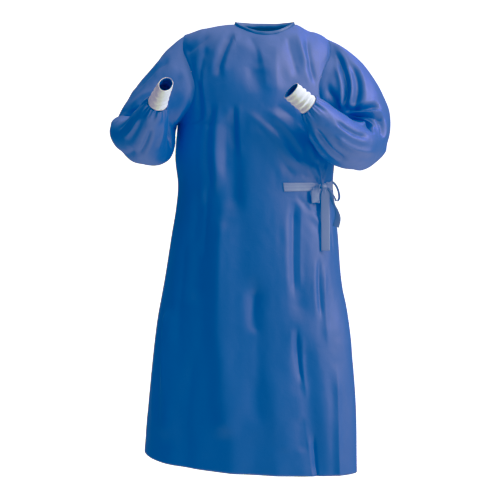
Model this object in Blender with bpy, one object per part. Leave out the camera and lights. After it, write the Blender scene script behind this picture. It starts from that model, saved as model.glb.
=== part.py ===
"""A surgical gown, hollow and filled out as it is worn, with the forearms raised and the belt tied at the side.

Metres, +Z up. The front faces -Y, and the wearer's right is at -X. The origin is in the middle of the neck, at the
height of the shoulder seams. Each sewn piece is a wall of cloth of its own, lofted through sections of the body and
of the arms.
"""

import math

import bmesh
import bpy
import numpy as np
from mathutils import Vector

# Cloth and seams
CLOTH = 0.002
KNIT = 0.0024
STRAP = 0.0014
SEAM = 0.0004
LAYER = 0.0034
BINDING_HEIGHT = 0.007
BINDING_LEAN = 0.15
BINDING_STEP = 0.006
BELT_WIDTH = 0.023

# Levels of the body: below the underarm a level is a height, above it a share of the way to the shoulder
UNDERARM = -0.270
HEM = -1.200
RIDGE_Y = 0.005
TOP_SHARE = 0.997
ROUNDING = 0.9
NECK_HALF = 0.083
NORMAL_SHARE = 0.002
NORMAL_LEVEL = 0.004
NECK_DIP = {"front": 0.66, "back": 0.84}

# Sections of the body. Each has a tip on either side, a front-most and a rear-most point, and four quarter ellipses
SECTION_COLUMNS = ("z", "left", "right", "y_left", "y_right", "x_front", "y_front", "x_back", "y_back")
SECTIONS = (
    (-1.200, -0.344, 0.247, 0.080, -0.140, 0.120, -0.187, -0.070, 0.250),
    (-1.014, -0.326, 0.245, 0.070, -0.105, 0.095, -0.172, -0.060, 0.228),
    (-0.832, -0.304, 0.230, 0.055, -0.070, 0.065, -0.156, -0.050, 0.200),
    (-0.690, -0.278, 0.2085, 0.045, -0.042, 0.042, -0.143, -0.040, 0.172),
    (-0.575, -0.259, 0.200, 0.040, -0.022, 0.020, -0.132, -0.035, 0.152),
    (-0.500, -0.246, 0.193, 0.035, -0.015, 0.005, -0.126, -0.030, 0.142),
    (-0.435, -0.240, 0.186, 0.030, -0.010, -0.005, -0.122, -0.030, 0.136),
    (-0.360, -0.247, 0.191, 0.030, -0.005, -0.015, -0.121, -0.030, 0.140),
    (-0.270, -0.240, 0.195, 0.028, 0.000, -0.020, -0.118, -0.030, 0.136),
)

# Height of the shoulders above the cloth's own width
SHOULDER_COLUMNS = ("x", "z")
SHOULDERS = (
    (-0.250, -0.050),
    (-0.218, -0.027),
    (-0.185, -0.017),
    (-0.149, -0.010),
    (-0.083, 0.003),
    (0.000, 0.004),
    (0.083, 0.000),
    (0.119, -0.018),
    (0.144, -0.024),
    (0.174, -0.041),
    (0.205, -0.066),
)

# How far the armholes lie inside the tips of the underarm section
ARMHOLE_COLUMNS = ("share", "front", "back")
ARMHOLE = (
    (0.00, 0.000, 0.000),
    (0.10, 0.038, 0.030),
    (0.22, 0.052, 0.043),
    (0.38, 0.040, 0.036),
    (0.60, 0.020, 0.024),
    (1.00, 0.0235, 0.0235),
)

# The largest folds of the body, from a top to a bottom point, each a ridge or, below zero, a trough
FOLD_COLUMNS = ("side", "x_top", "z_top", "x_low", "z_low", "height", "half_width")
FOLDS = (
    ("front", -0.045, -0.060, -0.020, -0.190, -0.007, 0.026),
    ("front", 0.008, -0.070, 0.026, -0.230, 0.006, 0.028),
    ("front", -0.142, -0.235, -0.130, -0.470, 0.009, 0.020),
    ("front", -0.088, -0.225, -0.085, -0.520, -0.012, 0.026),
    ("front", -0.050, -0.245, 0.100, -0.405, 0.010, 0.026),
    ("front", -0.170, -0.440, -0.190, -0.760, -0.009, 0.024),
    ("front", -0.110, -0.500, -0.115, -1.120, 0.010, 0.030),
    ("front", -0.030, -0.660, -0.028, -1.080, -0.007, 0.024),
    ("front", 0.082, -0.470, 0.092, -0.800, -0.007, 0.024),
    ("front", 0.095, -0.820, 0.142, -1.230, -0.009, 0.026),
    ("front", -0.262, -0.760, -0.275, -1.150, 0.008, 0.024),
    ("back", -0.150, -0.200, -0.120, -0.520, -0.010, 0.028),
    ("back", -0.020, -0.120, -0.010, -0.430, 0.008, 0.034),
    ("back", 0.085, -0.230, 0.070, -0.560, -0.010, 0.028),
    ("back", -0.190, -0.560, -0.230, -1.230, 0.014, 0.034),
    ("back", -0.090, -0.520, -0.110, -1.230, -0.014, 0.032),
    ("back", 0.015, -0.560, 0.020, -1.230, 0.012, 0.034),
    ("back", 0.110, -0.540, 0.140, -1.230, -0.012, 0.030),
)
FOLD_FADE = 0.060

# Free edges of the back panels: how far round each reaches. The share runs from the right tip, 0.5, to the left, 1
FREE_EDGE_COLUMNS = ("level", "outer", "inner")
FREE_EDGES = (
    (-0.930, 0.545, 0.860),
    (-0.300, 0.540, 0.820),
    (-0.160, 0.548, 0.805),
    (0.000, 0.600, 0.795),
    (0.220, 0.640, 0.792),
    (0.500, 0.655, 0.791),
)
EDGE_BLEND = 0.5
DIP_SPAN = 0.028
DIP_LEAD = 0.006
SIDE_GAP = 0.0008

# Sleeves: centres of their sections down the arm, with half their width across the arm and half their depth
SLEEVE_COLUMNS = ("x", "y", "z", "across", "deep")
SLEEVES = {
    "right": (
        (-0.240, 0.008, -0.170, 0.103, 0.090),
        (-0.2745, 0.010, -0.204, 0.078, 0.086),
        (-0.312, 0.002, -0.252, 0.080, 0.076),
        (-0.325, -0.014, -0.292, 0.0865, 0.062),
        (-0.337, -0.046, -0.314, 0.0900, 0.054),
        (-0.331, -0.086, -0.314, 0.076, 0.050),
        (-0.316, -0.126, -0.294, 0.061, 0.048),
        (-0.300, -0.164, -0.264, 0.050, 0.044),
        (-0.286, -0.198, -0.236, 0.039, 0.037),
        (-0.276, -0.222, -0.217, 0.0265, 0.0265),
    ),
    "left": (
        (0.203, -0.006, -0.166, 0.106, 0.092),
        (0.239, -0.012, -0.198, 0.086, 0.088),
        (0.262, -0.018, -0.248, 0.079, 0.080),
        (0.269, -0.034, -0.288, 0.071, 0.066),
        (0.256, -0.064, -0.319, 0.068, 0.059),
        (0.233, -0.098, -0.328, 0.073, 0.060),
        (0.196, -0.130, -0.310, 0.068, 0.056),
        (0.161, -0.156, -0.277, 0.055, 0.049),
        (0.131, -0.176, -0.244, 0.042, 0.040),
        (0.110, -0.189, -0.222, 0.028, 0.028),
    ),
}
# Where a sleeve's rings bunch up they are eased: rings, degrees round the arm and their half width, rounds
EASED_COLUMNS = ("first", "last", "angle", "half_width", "rounds")
EASED = {
    "right": ((1, 6, 0, 100, 3), (5, 10, 70, 70, 3)),
    "left": ((1, 7, 20, 120, 8),),
}
ELBOW_AXIS = {"right": (-0.860, 0.085, 0.505), "left": (0.735, -0.595, 0.326)}
ARM_START = {"right": (-0.86, 0.0, -0.51), "left": (0.86, -0.10, -0.50)}
CUFF_MOUTH = {"right": (-0.250, -0.281, -0.172), "left": (0.064, -0.208, -0.185)}
CUFF_HALF = {"right": (0.0170, 0.0245), "left": (0.0265, 0.0225)}
CUFF_TUCK = 0.002
CUFF_FOLDS = 4
CUFF_FOLD_HEIGHT = 0.0008
SLEEVE_OFF_BODY = 0.0035
GATHERS = 8
GATHER_HEIGHT = 0.0022
GATHER_LENGTH = 0.055

# The belt: where its front strap starts and where the knot lies on the front panel
STRAP_START_X = 0.048
STRAP_OUT = 0.0008
STRAP_PAST_KNOT = 0.007
STRAP_OFF_TIP = 0.001
KNOT_X = 0.151
KNOT_Z = -0.435
KNOT_OUT = 0.0110
KNOT_SIZE = (0.020, 0.015, 0.018)
KNOT_TURN = 35

# Ribbons of the bow, from the knot's middle: a place on the ribbon and the direction of its width
RIBBON_COLUMNS = ("x", "y", "z", "width_x", "width_y", "width_z")
RIBBONS = {
    "bow_loop_front": (
        (-0.0092, -0.005, 0.003, 0.30, -0.30, 0.90),
        (-0.019, -0.015, -0.002, 0.75, -0.25, 0.45),
        (-0.025, -0.022, -0.015, 0.97, 0.05, 0.10),
        (-0.025, -0.024, -0.030, 0.97, 0.15, 0.00),
        (-0.024, -0.020, -0.041, 0.95, 0.30, 0.00),
        (-0.021, -0.0135, -0.034, 0.90, 0.40, 0.00),
        (-0.016, -0.0095, -0.020, 0.85, 0.50, 0.10),
        (-0.0075, -0.004, -0.008, 0.60, 0.60, 0.30),
    ),
    "bow_loop_side": (
        (0.0088, -0.002, 0.005, 0.00, -0.50, 0.87),
        (0.020, 0.002, 0.011, 0.05, -0.90, 0.40),
        (0.031, 0.006, 0.003, 0.20, -0.97, 0.10),
        (0.039, 0.008, -0.014, 0.20, -0.98, 0.00),
        (0.041, 0.008, -0.032, 0.20, -0.98, 0.00),
        (0.034, 0.004, -0.039, 0.10, -0.99, 0.05),
        (0.025, -0.001, -0.025, 0.10, -0.98, 0.10),
        (0.0100, -0.004, -0.0040, 0.10, -0.80, 0.55),
    ),
    "tail_twisted": (
        (0.0060, -0.004, -0.0062, 0.75, -0.60, 0.30),
        (0.0165, -0.013, -0.024, 0.60, -0.80, 0.10),
        (0.024, -0.016, -0.046, 0.30, -0.95, 0.05),
        (0.033, -0.013, -0.066, 0.45, -0.89, 0.00),
        (0.036, -0.009, -0.086, 0.75, -0.66, 0.00),
        (0.031, -0.007, -0.108, 0.85, -0.50, 0.10),
    ),
    "tail_straight": (
        (0.001, -0.0068, -0.0062, 0.98, -0.20, 0.00),
        (0.002, -0.014, -0.026, 0.99, -0.12, 0.00),
        (0.002, -0.017, -0.060, 0.99, -0.12, 0.00),
        (0.003, -0.022, -0.110, 0.99, -0.12, 0.00),
        (0.003, -0.030, -0.170, 0.99, -0.12, 0.00),
    ),
}
RIBBON_WIDTH = {
    "bow_loop_front": 0.021,
    "bow_loop_side": 0.018,
    "tail_twisted": 0.020,
    "tail_straight": 0.023,
}
RIBBON_NARROW = 0.45
RIBBON_TAPER = 0.22

# Fineness of the solids
FRONT_COLUMNS = (10, 10, 10)
SIDE_COLUMNS = {"outer": 7, "inner": 6}
OVERLAP_COLUMNS = 11
SKIRT_ROWS = 15
CHEST_SHARES = (0.006, 0.027, 0.065, 0.12, 0.19, 0.27, 0.36, 0.46, 0.565, 0.675, 0.785, 0.89, 1.0)
SLEEVE_AROUND = 2 * len(CHEST_SHARES)
SLEEVE_ROWS = 16
BLEND_ROWS = 5
CUFF_AROUND = 20
CUFF_ROWS = 8
RIBBON_ROWS = 12
KNOT_SEGMENTS = (14, 9)
SHARP_ANGLE = 50

COLOURS = {
    "cloth": ((0.030, 0.105, 0.345, 1.0), 0.62),
    "binding": ((0.012, 0.070, 0.270, 1.0), 0.66),
    "belt": ((0.090, 0.165, 0.400, 1.0), 0.55),
    "knit": ((0.860, 0.870, 0.900, 1.0), 0.85),
}


def clear_scene():
    for thing in list(bpy.data.objects):
        bpy.data.objects.remove(thing)


def make_collection(name):
    collection = bpy.data.collections.new(name)
    bpy.context.scene.collection.children.link(collection)
    return collection


def make_material(name):
    colour, roughness = COLOURS[name]
    material = bpy.data.materials.new(name)
    material.use_nodes = True
    shader = material.node_tree.nodes["Principled BSDF"]
    shader.inputs["Base Color"].default_value = colour
    shader.inputs["Roughness"].default_value = roughness
    shader.inputs["Metallic"].default_value = 0.0
    material.diffuse_color = colour
    return material


def unit(vector):
    vector = np.asarray(vector, float)
    return vector / max(np.linalg.norm(vector), 1e-12)


def smooth_step(value):
    value = min(max(value, 0.0), 1.0)
    return value * value * (3.0 - 2.0 * value)


def curve_through(table, steps):
    """Points at even shares along a smooth curve through the table's rows, in all its columns."""
    rows = np.array(table, float)
    padded = np.vstack([2 * rows[0] - rows[1], rows, 2 * rows[-1] - rows[-2]])
    found = []
    for share in np.linspace(0, len(rows) - 1, steps):
        index = min(int(share), len(rows) - 2)
        part = share - index
        before, first, second, after = padded[index : index + 4]
        found.append(
            0.5
            * (
                2 * first
                + (second - before) * part
                + (2 * before - 5 * first + 4 * second - after) * part**2
                + (3 * first - before - 3 * second + after) * part**3
            )
        )
    return np.array(found)


def read_row(table, at):
    """The table's other columns at a value of its first, which rises or falls down the rows."""
    rows = np.array(sorted(table), float)
    place = np.clip(at, rows[0, 0], rows[-1, 0])
    index = min(int(np.searchsorted(rows[:, 0], place, side="right")) - 1, len(rows) - 2)
    low, high = rows[index], rows[index + 1]
    width = high[0] - low[0]
    before = rows[max(index - 1, 0)]
    after = rows[min(index + 2, len(rows) - 1)]
    slope_low = (high - before)[1:] / (high[0] - before[0])
    slope_high = (after - low)[1:] / (after[0] - low[0])
    part = (place - low[0]) / width
    return (
        (2 * part**3 - 3 * part**2 + 1) * low[1:]
        + (part**3 - 2 * part**2 + part) * width * slope_low
        + (3 * part**2 - 2 * part**3) * high[1:]
        + (part**3 - part**2) * width * slope_high
    )


def section_point(share, z):
    """A point of the body's section at a height. The share runs from the left tip, 0, by the front and back to 1."""
    left, right, y_left, y_right, x_front, y_front, x_back, y_back = read_row(SECTIONS, z)
    quarter = min(int(share * 4), 3)
    turn = (share * 4 - quarter) * math.pi / 2
    sine, cosine = math.sin(turn), math.cos(turn)
    if quarter == 0:
        return x_front + (left - x_front) * cosine, y_left + (y_front - y_left) * sine
    if quarter == 1:
        return x_front + (right - x_front) * sine, y_right + (y_front - y_right) * cosine
    if quarter == 2:
        return x_back + (right - x_back) * cosine, y_right + (y_back - y_right) * sine
    return x_back + (left - x_back) * sine, y_left + (y_back - y_left) * cosine


def share_at_x(x, side, z=UNDERARM):
    """The share of the front or back of a section that lies at x."""
    left, right, _, _, x_front, _, x_back, _ = read_row(SECTIONS, z)
    middle = x_front if side == "front" else x_back
    reach = (x - middle) / ((left if x < middle else right) - middle)
    turn = math.acos(min(max(reach, 0.0), 1.0)) / (math.pi / 2) / 4
    if side == "front":
        return turn if x < middle else 0.5 - turn
    return 1.0 - turn if x < middle else 0.5 + turn


def plain_body(share, level):
    """The body's surface without its folds."""
    if level <= 0:
        x, y = section_point(share, UNDERARM + level)
        return np.array((x, y, UNDERARM + level))
    x, y = section_point(share, UNDERARM)
    turn = level * math.pi / 2
    top = read_row(SHOULDERS, x)[0]
    rise = math.sin(turn) ** ROUNDING
    return np.array((x, RIDGE_Y + (y - RIDGE_Y) * math.cos(turn), UNDERARM + (top - UNDERARM) * rise))


def body_normal(share, level):
    level_low = min(max(level - NORMAL_LEVEL, HEM - UNDERARM), TOP_SHARE - 2 * NORMAL_LEVEL)
    level_high = level_low + 2 * NORMAL_LEVEL
    along = plain_body((share + NORMAL_SHARE) % 1.0, level) - plain_body((share - NORMAL_SHARE) % 1.0, level)
    up = plain_body(share, level_high) - plain_body(share, level_low)
    return unit(np.cross(along, up))


def fold_height(side, x, z):
    total = 0.0
    for row_side, x_top, z_top, x_low, z_low, height, half_width in FOLDS:
        if row_side != side:
            continue
        along = (z_top - z) / (z_top - z_low)
        off = (x - x_top - (x_low - x_top) * along) / half_width
        fade = smooth_step((z_top - z) / FOLD_FADE) * smooth_step((z - z_low) / FOLD_FADE)
        total += height * fade * math.exp(-off * off)
    return total


def body_point(share, level, out=0.0):
    """A point of the folded body, moved out along the plain body's normal."""
    point = plain_body(share % 1.0, level)
    side = "front" if share % 1.0 < 0.5 else "back"
    return point + body_normal(share % 1.0, level) * (fold_height(side, point[0], point[2]) + out)


def armhole_share(arm, side, level):
    """The share at which the armhole of an arm crosses the front or back at a level above the underarm."""
    insets = read_row(ARMHOLE, level)
    inset = insets[0] if side == "front" else insets[1]
    left, right = read_row(SECTIONS, UNDERARM)[:2]
    return share_at_x(left + inset if arm == "right" else right - inset, side)


def neck_limit(side, share):
    """How far up the shoulder a column of the body goes before it meets the neck."""
    x = section_point(share, UNDERARM)[0]
    reach = min(abs(x) / NECK_HALF, 1.0)
    dip = NECK_DIP[side]
    return TOP_SHARE * (dip + (1 - dip) * (1 - math.sqrt(1 - reach * reach)))


def dip_under(share, level):
    """How far the inner back panel lies under the outer one: nothing at the side seam, a layer past the free edge."""
    outer_edge = free_edges(level)[0]
    return -LAYER * smooth_step((share - outer_edge + DIP_SPAN + DIP_LEAD) / DIP_SPAN)


def free_edges(level):
    """Where the outer and the inner back panel end at a level. On the shoulders both end at a corner of the neck."""
    outer, inner = read_row(FREE_EDGES, level)
    corners = share_at_x(NECK_HALF, "back"), share_at_x(-NECK_HALF, "back")
    part = smooth_step(level / EDGE_BLEND)
    return outer + (corners[0] - outer) * part, inner + (corners[1] - inner) * part


def levels():
    below = [(HEM - UNDERARM) * (1 - row / SKIRT_ROWS) for row in range(SKIRT_ROWS + 1)]
    return below + list(CHEST_SHARES)


def spread(stops, counts):
    """Shares between stops, the given number of steps for each stretch."""
    found = [stops[0]]
    for low, high, count in zip(stops, stops[1:], counts):
        found += [low + (high - low) * step / count for step in range(1, count + 1)]
    return found


def armhole_mitre(arm, share, level):
    """The direction into the cloth that a panel and its sleeve share where they are sewn."""
    point = body_point(share, level)
    start = unit(ARM_START[arm])
    middle = np.mean(armhole_loop(arm), axis=0)
    radial = point - middle
    radial = unit(radial - start * radial.dot(start))
    return unit(body_normal(share, level) + radial)


def armhole_loop(arm):
    """Points round the armhole: from the underarm up the front, over the shoulder and down the back."""
    return [body_point(share, level) for share, level in armhole_places(arm)]


def armhole_places(arm):
    tip = 0.0 if arm == "right" else 0.5
    places = [(tip, 0.0)]
    for side, shares in (("front", CHEST_SHARES), ("back", CHEST_SHARES[-2::-1])):
        places += [(armhole_share(arm, side, level), level * TOP_SHARE) for level in shares]
    return places


def panel_rows(side, stops_at, counts, out_at):
    """Outer and inner points of a body panel, a row for each level. stops_at gives the shares where columns bend."""
    outer, inner = [], []
    for level in levels():
        row_outer, row_inner = [], []
        stops, arms = stops_at(level)
        shares = spread(stops, counts)
        for column, share in enumerate(shares):
            reached = level if level <= 0 else level * neck_limit(side, share)
            out = out_at(share, reached)
            point = body_point(share, reached, out)
            into = body_normal(share, reached)
            arm = arms[0] if column == 0 else arms[1] if column == len(shares) - 1 else None
            if arm and level > 0:
                into = armhole_mitre(arm, share, reached)
            row_outer.append(point)
            row_inner.append(point - into * CLOTH)
        outer.append(row_outer)
        inner.append(row_inner)
    return outer, inner


def wall_object(name, outer, inner, around, material, collection):
    """A closed wall between two grids of points, open or joined round on itself."""
    mesh = bmesh.new()
    rows, columns = len(outer), len(outer[0])
    grids = [[[mesh.verts.new(Vector(point)) for point in row] for row in grid] for grid in (outer, inner)]
    spans = columns if around else columns - 1
    for grid in grids:
        for row in range(rows - 1):
            for column in range(spans):
                after = (column + 1) % columns
                mesh.faces.new((grid[row][column], grid[row][after], grid[row + 1][after], grid[row + 1][column]))
    rim = [((row, column), (row, (column + 1) % columns)) for row in (0, rows - 1) for column in range(spans)]
    if not around:
        rim += [((row, column), (row + 1, column)) for column in (0, columns - 1) for row in range(rows - 1)]
    for (row_a, column_a), (row_b, column_b) in rim:
        mesh.faces.new(
            (
                grids[0][row_a][column_a],
                grids[0][row_b][column_b],
                grids[1][row_b][column_b],
                grids[1][row_a][column_a],
            )
        )
    bmesh.ops.recalc_face_normals(mesh, faces=mesh.faces)
    data = bpy.data.meshes.new(name)
    mesh.to_mesh(data)
    mesh.free()
    data.shade_smooth()
    data.set_sharp_from_angle(angle=math.radians(SHARP_ANGLE))
    data.materials.append(material)
    thing = bpy.data.objects.new(name, data)
    collection.objects.link(thing)
    return thing


def front_stops(level):
    """Where the front's columns start, pass the corners of the neck and end, and the arms that its ends meet."""
    neck = (share_at_x(-NECK_HALF, "front"), share_at_x(NECK_HALF, "front"))
    if level <= 0:
        return (SIDE_GAP, *neck, 0.5 - SIDE_GAP), (None, None)
    ends = armhole_share("right", "front", level), armhole_share("left", "front", level)
    return (ends[0], *neck, ends[1]), ("right", "left")


def make_front(materials, collection):
    outer, inner = panel_rows("front", front_stops, FRONT_COLUMNS, lambda share, level: 0.0)
    wall_object("body_front", outer, inner, False, materials["cloth"], collection)
    first, last = FRONT_COLUMNS[0], FRONT_COLUMNS[0] + FRONT_COLUMNS[1]
    return outer[-1][first : last + 1], inner[-1][first : last + 1]


def make_back_outer(materials, collection):
    def stops_at(level):
        if level <= 0:
            return (*free_edges(level), 1.0 - SIDE_GAP), (None, None)
        return (*free_edges(level), armhole_share("right", "back", level)), (None, "right")

    counts = (OVERLAP_COLUMNS, SIDE_COLUMNS["outer"])
    outer, inner = panel_rows("back", stops_at, counts, lambda share, level: 0.0)
    wall_object("back_outer", outer, inner, False, materials["cloth"], collection)
    return outer[-1][: OVERLAP_COLUMNS + 1], inner[-1][: OVERLAP_COLUMNS + 1]


def make_back_inner(materials, collection):
    def stops_at(level):
        if level <= 0:
            return (0.5 + SIDE_GAP, *free_edges(level)), (None, None)
        return (armhole_share("left", "back", level), *free_edges(level)), ("left", None)

    counts = (SIDE_COLUMNS["inner"], OVERLAP_COLUMNS)
    outer, inner = panel_rows("back", stops_at, counts, dip_under)
    wall_object("back_inner", outer, inner, False, materials["cloth"], collection)
    return outer[-1][counts[0] :], inner[-1][counts[0] :]


def make_binding(edges, materials, collection):
    """The neck's binding stands on the panels' top edges, from one free edge of the back round to the other.

    The first run is the inner back panel's. It stands a layer nearer the neck than the outer panel's.
    """
    points = []
    for run, (outer, inner) in enumerate(edges):
        for top, below in zip(outer, inner):
            to_middle = unit((-top[0], RIDGE_Y - top[1], 0.0))
            sideways = np.linalg.norm((top - below)[:2]) / CLOTH
            shift = LAYER * (1 - sideways) if run == 0 else 0.0
            points.append((top + to_middle * shift, to_middle))
    kept = [points[0]]
    for point in points[1:]:
        if np.linalg.norm(point[0] - kept[-1][0]) > BINDING_STEP:
            kept.append(point)
    outer, inner = [], []
    for height in (SEAM, BINDING_HEIGHT):
        row_outer, row_inner = [], []
        for top, to_middle in kept:
            base = top + to_middle * BINDING_LEAN * height + np.array((0, 0, height))
            row_outer.append(base)
            row_inner.append(base + to_middle * CLOTH)
        outer.append(row_outer)
        inner.append(row_inner)
    wall_object("neck_binding", outer, inner, False, materials["binding"], collection)


def arm_frames(arm):
    """Centre, direction, two cross directions and half sizes for each section of a sleeve after the armhole."""
    start = np.mean(armhole_loop(arm), axis=0)
    first = np.array(SLEEVES[arm][0][3:])
    table = [(*start, *first)] + list(SLEEVES[arm])
    stations = curve_through(table, SLEEVE_ROWS)
    frames = []
    for index, row in enumerate(stations):
        before = stations[max(index - 1, 0)][:3]
        after = stations[min(index + 1, len(stations) - 1)][:3]
        along = unit(after - before)
        if index == len(stations) - 1:
            along = unit(np.array(CUFF_MOUTH[arm]) - row[:3])
        across = np.array(ELBOW_AXIS[arm])
        across = unit(across - along * across.dot(along))
        deep = np.cross(along, across)
        if arm == "right":
            deep = -deep
        frames.append((row[:3], along, across, deep, row[3], row[4]))
    return frames


def tube_ring(frame, wave, thinner=0.0):
    """A sleeve's section. It starts at the body's side of the arm and goes round by the front."""
    centre, _, across, deep, half_across, half_deep = frame
    ring = []
    for column in range(SLEEVE_AROUND):
        turn = column / SLEEVE_AROUND * 2 * math.pi
        swell = wave * math.cos(GATHERS * turn) - thinner
        ring.append(
            centre
            - across * (half_across + swell) * math.cos(turn)
            + deep * (half_deep + swell) * math.sin(turn)
        )
    return ring


def ease_rings(arm, rings):
    """The sleeve's rings, smoothed along the arm where they would fold through each other."""
    rings = np.array(rings)
    row = np.arange(len(rings))[:, None]
    turn = np.arange(rings.shape[1])[None, :] / rings.shape[1] * 360
    for first, last, angle, half_width, rounds in EASED[arm]:
        off = np.minimum(np.abs((turn - angle + 180) % 360 - 180) / half_width, 1)
        near = np.clip(row - first + 1, 0, 1) * np.clip((last + 1 - row) / 2, 0, 1)
        weight = near * (1 + np.cos(math.pi * off)) / 2
        smoothed = rings.copy()
        for _ in range(rounds):
            smoothed[1:-1] = (smoothed[:-2] + 2 * smoothed[1:-1] + smoothed[2:]) / 4
        rings = rings + (smoothed - rings) * weight[..., None]
    return rings


def off_the_body(arm, point):
    """A point of a sleeve, moved out past the body's side where it lies below the underarm."""
    left, right = read_row(SECTIONS, point[2])[:2]
    x, y, z = point
    if z < UNDERARM + SLEEVE_OFF_BODY:
        x = min(x, left - SLEEVE_OFF_BODY) if arm == "right" else max(x, right + SLEEVE_OFF_BODY)
    return np.array((x, y, z))


def make_sleeve(arm, materials, collection):
    places = armhole_places(arm)
    loop = armhole_loop(arm)
    start = unit(ARM_START[arm])
    frames = arm_frames(arm)
    rings = [[point + start * 2 * SEAM for point in loop]]
    thin = [[point - armhole_mitre(arm, *place) * CLOTH for point, place in zip(rings[0], places)]]
    lengths = [np.linalg.norm(b[0] - a[0]) for a, b in zip(frames, frames[1:])]
    for index in range(1, len(frames)):
        left_over = sum(lengths[index:])
        wave = GATHER_HEIGHT * smooth_step(1 - left_over / GATHER_LENGTH)
        keep = 1 - smooth_step(index / BLEND_ROWS)
        shift = frames[index][0] - frames[0][0]
        rings.append([a * (1 - keep) + (b + shift) * keep for a, b in zip(tube_ring(frames[index], wave), loop)])
        thin.append(tube_ring(frames[index], wave, CLOTH))
    eased = ease_rings(arm, rings)
    outer, inner = [rings[0]], [thin[0]]
    for index in range(1, len(frames)):
        if index < BLEND_ROWS:
            outer.append([off_the_body(arm, point) for point in eased[index]])
            inner.append([point + unit(frames[index][0] - point) * CLOTH for point in outer[-1]])
        else:
            outer.append(list(eased[index]))
            inner.append(list(np.array(thin[index]) + eased[index] - np.array(rings[index])))
    wall_object(f"sleeve_{arm}", outer, inner, True, materials["cloth"], collection)
    return frames[-1]


def make_cuff(arm, frame, materials, collection):
    centre, _, across, deep, sleeve_half, _ = frame
    mouth = np.array(CUFF_MOUTH[arm])
    base_half = sleeve_half - CUFF_TUCK
    half_across, half_deep = CUFF_HALF[arm]
    grids = []
    for thinner in (0.0, KNIT):
        grid = []
        for row in range(CUFF_ROWS + 1):
            share = row / CUFF_ROWS
            fold = CUFF_FOLD_HEIGHT * math.sin(share * CUFF_FOLDS * 2 * math.pi) - thinner
            wide = base_half + (half_across - base_half) * share + fold
            tall = base_half + (half_deep - base_half) * share + fold
            start = centre + unit(mouth - centre) * SEAM
            place = start + (mouth - start) * share
            turns = [column / CUFF_AROUND * 2 * math.pi for column in range(CUFF_AROUND)]
            grid.append([place - across * wide * math.cos(a) + deep * tall * math.sin(a) for a in turns])
        grids.append(grid)
    wall_object(f"cuff_{arm}", *grids, True, materials["knit"], collection)


def point_over_panel(share, level, out):
    """A point at one distance from the panels, straight between their rows as their walls are."""
    low = max(row for row in levels() if row <= level)
    high = min(row for row in levels() if row > level)
    part = (level - low) / (high - low)
    return body_point(share, low, out) * (1 - part) + body_point(share, high, out) * part


def strap_on_body(name, shares, level, materials, collection):
    """A flat strap laid across the body's panels at one height, over the same columns as theirs."""
    outer, inner = [], []
    for share in shares:
        heights = [level + BELT_WIDTH * part for part in (-0.5, 0.0, 0.5)]
        outer.append([point_over_panel(share, height, STRAP_OUT + STRAP) for height in heights])
        inner.append([point_over_panel(share, height, STRAP_OUT) for height in heights])
    wall_object(name, outer, inner, False, materials["belt"], collection)


def knot_place():
    share = share_at_x(KNOT_X, "front", KNOT_Z)
    level = KNOT_Z - UNDERARM
    return share, level, body_point(share, level, KNOT_OUT)


def make_straps(materials, collection):
    share, level, _ = knot_place()
    start = share_at_x(STRAP_START_X, "front", KNOT_Z)
    stops = front_stops(level)[0]
    columns = spread(stops, FRONT_COLUMNS)
    flap_edge, inner_edge = free_edges(level)
    behind = spread((0.5, flap_edge), (SIDE_COLUMNS["inner"],))
    on_flap = spread((flap_edge, inner_edge), (OVERLAP_COLUMNS,))[1]
    before_knot, past_knot = share - STRAP_PAST_KNOT, share + STRAP_PAST_KNOT
    front = [start] + [column for column in columns if start < column < before_knot] + [before_knot]
    before_tip = [column for column in columns if past_knot < column < 0.5 - STRAP_OFF_TIP]
    side = [past_knot] + before_tip + behind[1:] + [on_flap]
    strap_on_body("belt_front", front, level, materials, collection)
    strap_on_body("belt_side", side, level, materials, collection)


def make_knot(materials, collection):
    _, _, middle = knot_place()
    mesh = bmesh.new()
    bmesh.ops.create_uvsphere(mesh, u_segments=KNOT_SEGMENTS[0], v_segments=KNOT_SEGMENTS[1], radius=0.5)
    bmesh.ops.scale(mesh, vec=Vector(KNOT_SIZE), verts=mesh.verts)
    data = bpy.data.meshes.new("bow_knot")
    mesh.to_mesh(data)
    mesh.free()
    data.shade_smooth()
    data.materials.append(materials["belt"])
    knot = bpy.data.objects.new("bow_knot", data)
    knot.location = Vector(middle)
    knot.rotation_euler = (0.0, 0.0, math.radians(KNOT_TURN))
    collection.objects.link(knot)


def make_ribbon(name, materials, collection):
    _, _, middle = knot_place()
    rows = curve_through(RIBBONS[name], RIBBON_ROWS)
    outer, inner = [], []
    for index, row in enumerate(rows):
        share = index / (len(rows) - 1)
        from_knot = min(share, 1 - share) if name.startswith("bow_loop") else share
        wide = RIBBON_WIDTH[name] * (RIBBON_NARROW + (1 - RIBBON_NARROW) * smooth_step(from_knot / RIBBON_TAPER))
        along = unit(rows[min(index + 1, len(rows) - 1)][:3] - rows[max(index - 1, 0)][:3])
        width = unit(row[3:] - along * row[3:].dot(along))
        out = np.cross(along, width)
        edges = [middle + row[:3] + width * wide * part for part in (-0.5, 0.0, 0.5)]
        outer.append([edge + out * STRAP * 0.5 for edge in edges])
        inner.append([edge - out * STRAP * 0.5 for edge in edges])
    wall_object(name, outer, inner, False, materials["belt"], collection)


def main():
    clear_scene()
    collection = make_collection("surgical_gown")
    materials = {name: make_material(name) for name in COLOURS}
    front_edge = make_front(materials, collection)
    outer_edge = make_back_outer(materials, collection)
    inner_edge = make_back_inner(materials, collection)
    inner_run = [side[::-1] for side in inner_edge]
    front_run = [side[::-1] for side in front_edge]
    outer_run = [side[::-1] for side in outer_edge]
    make_binding((inner_run, front_run, outer_run), materials, collection)
    for arm in ("right", "left"):
        last = make_sleeve(arm, materials, collection)
        make_cuff(arm, last, materials, collection)
    make_straps(materials, collection)
    make_knot(materials, collection)
    for name in RIBBONS:
        make_ribbon(name, materials, collection)


main()
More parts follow.
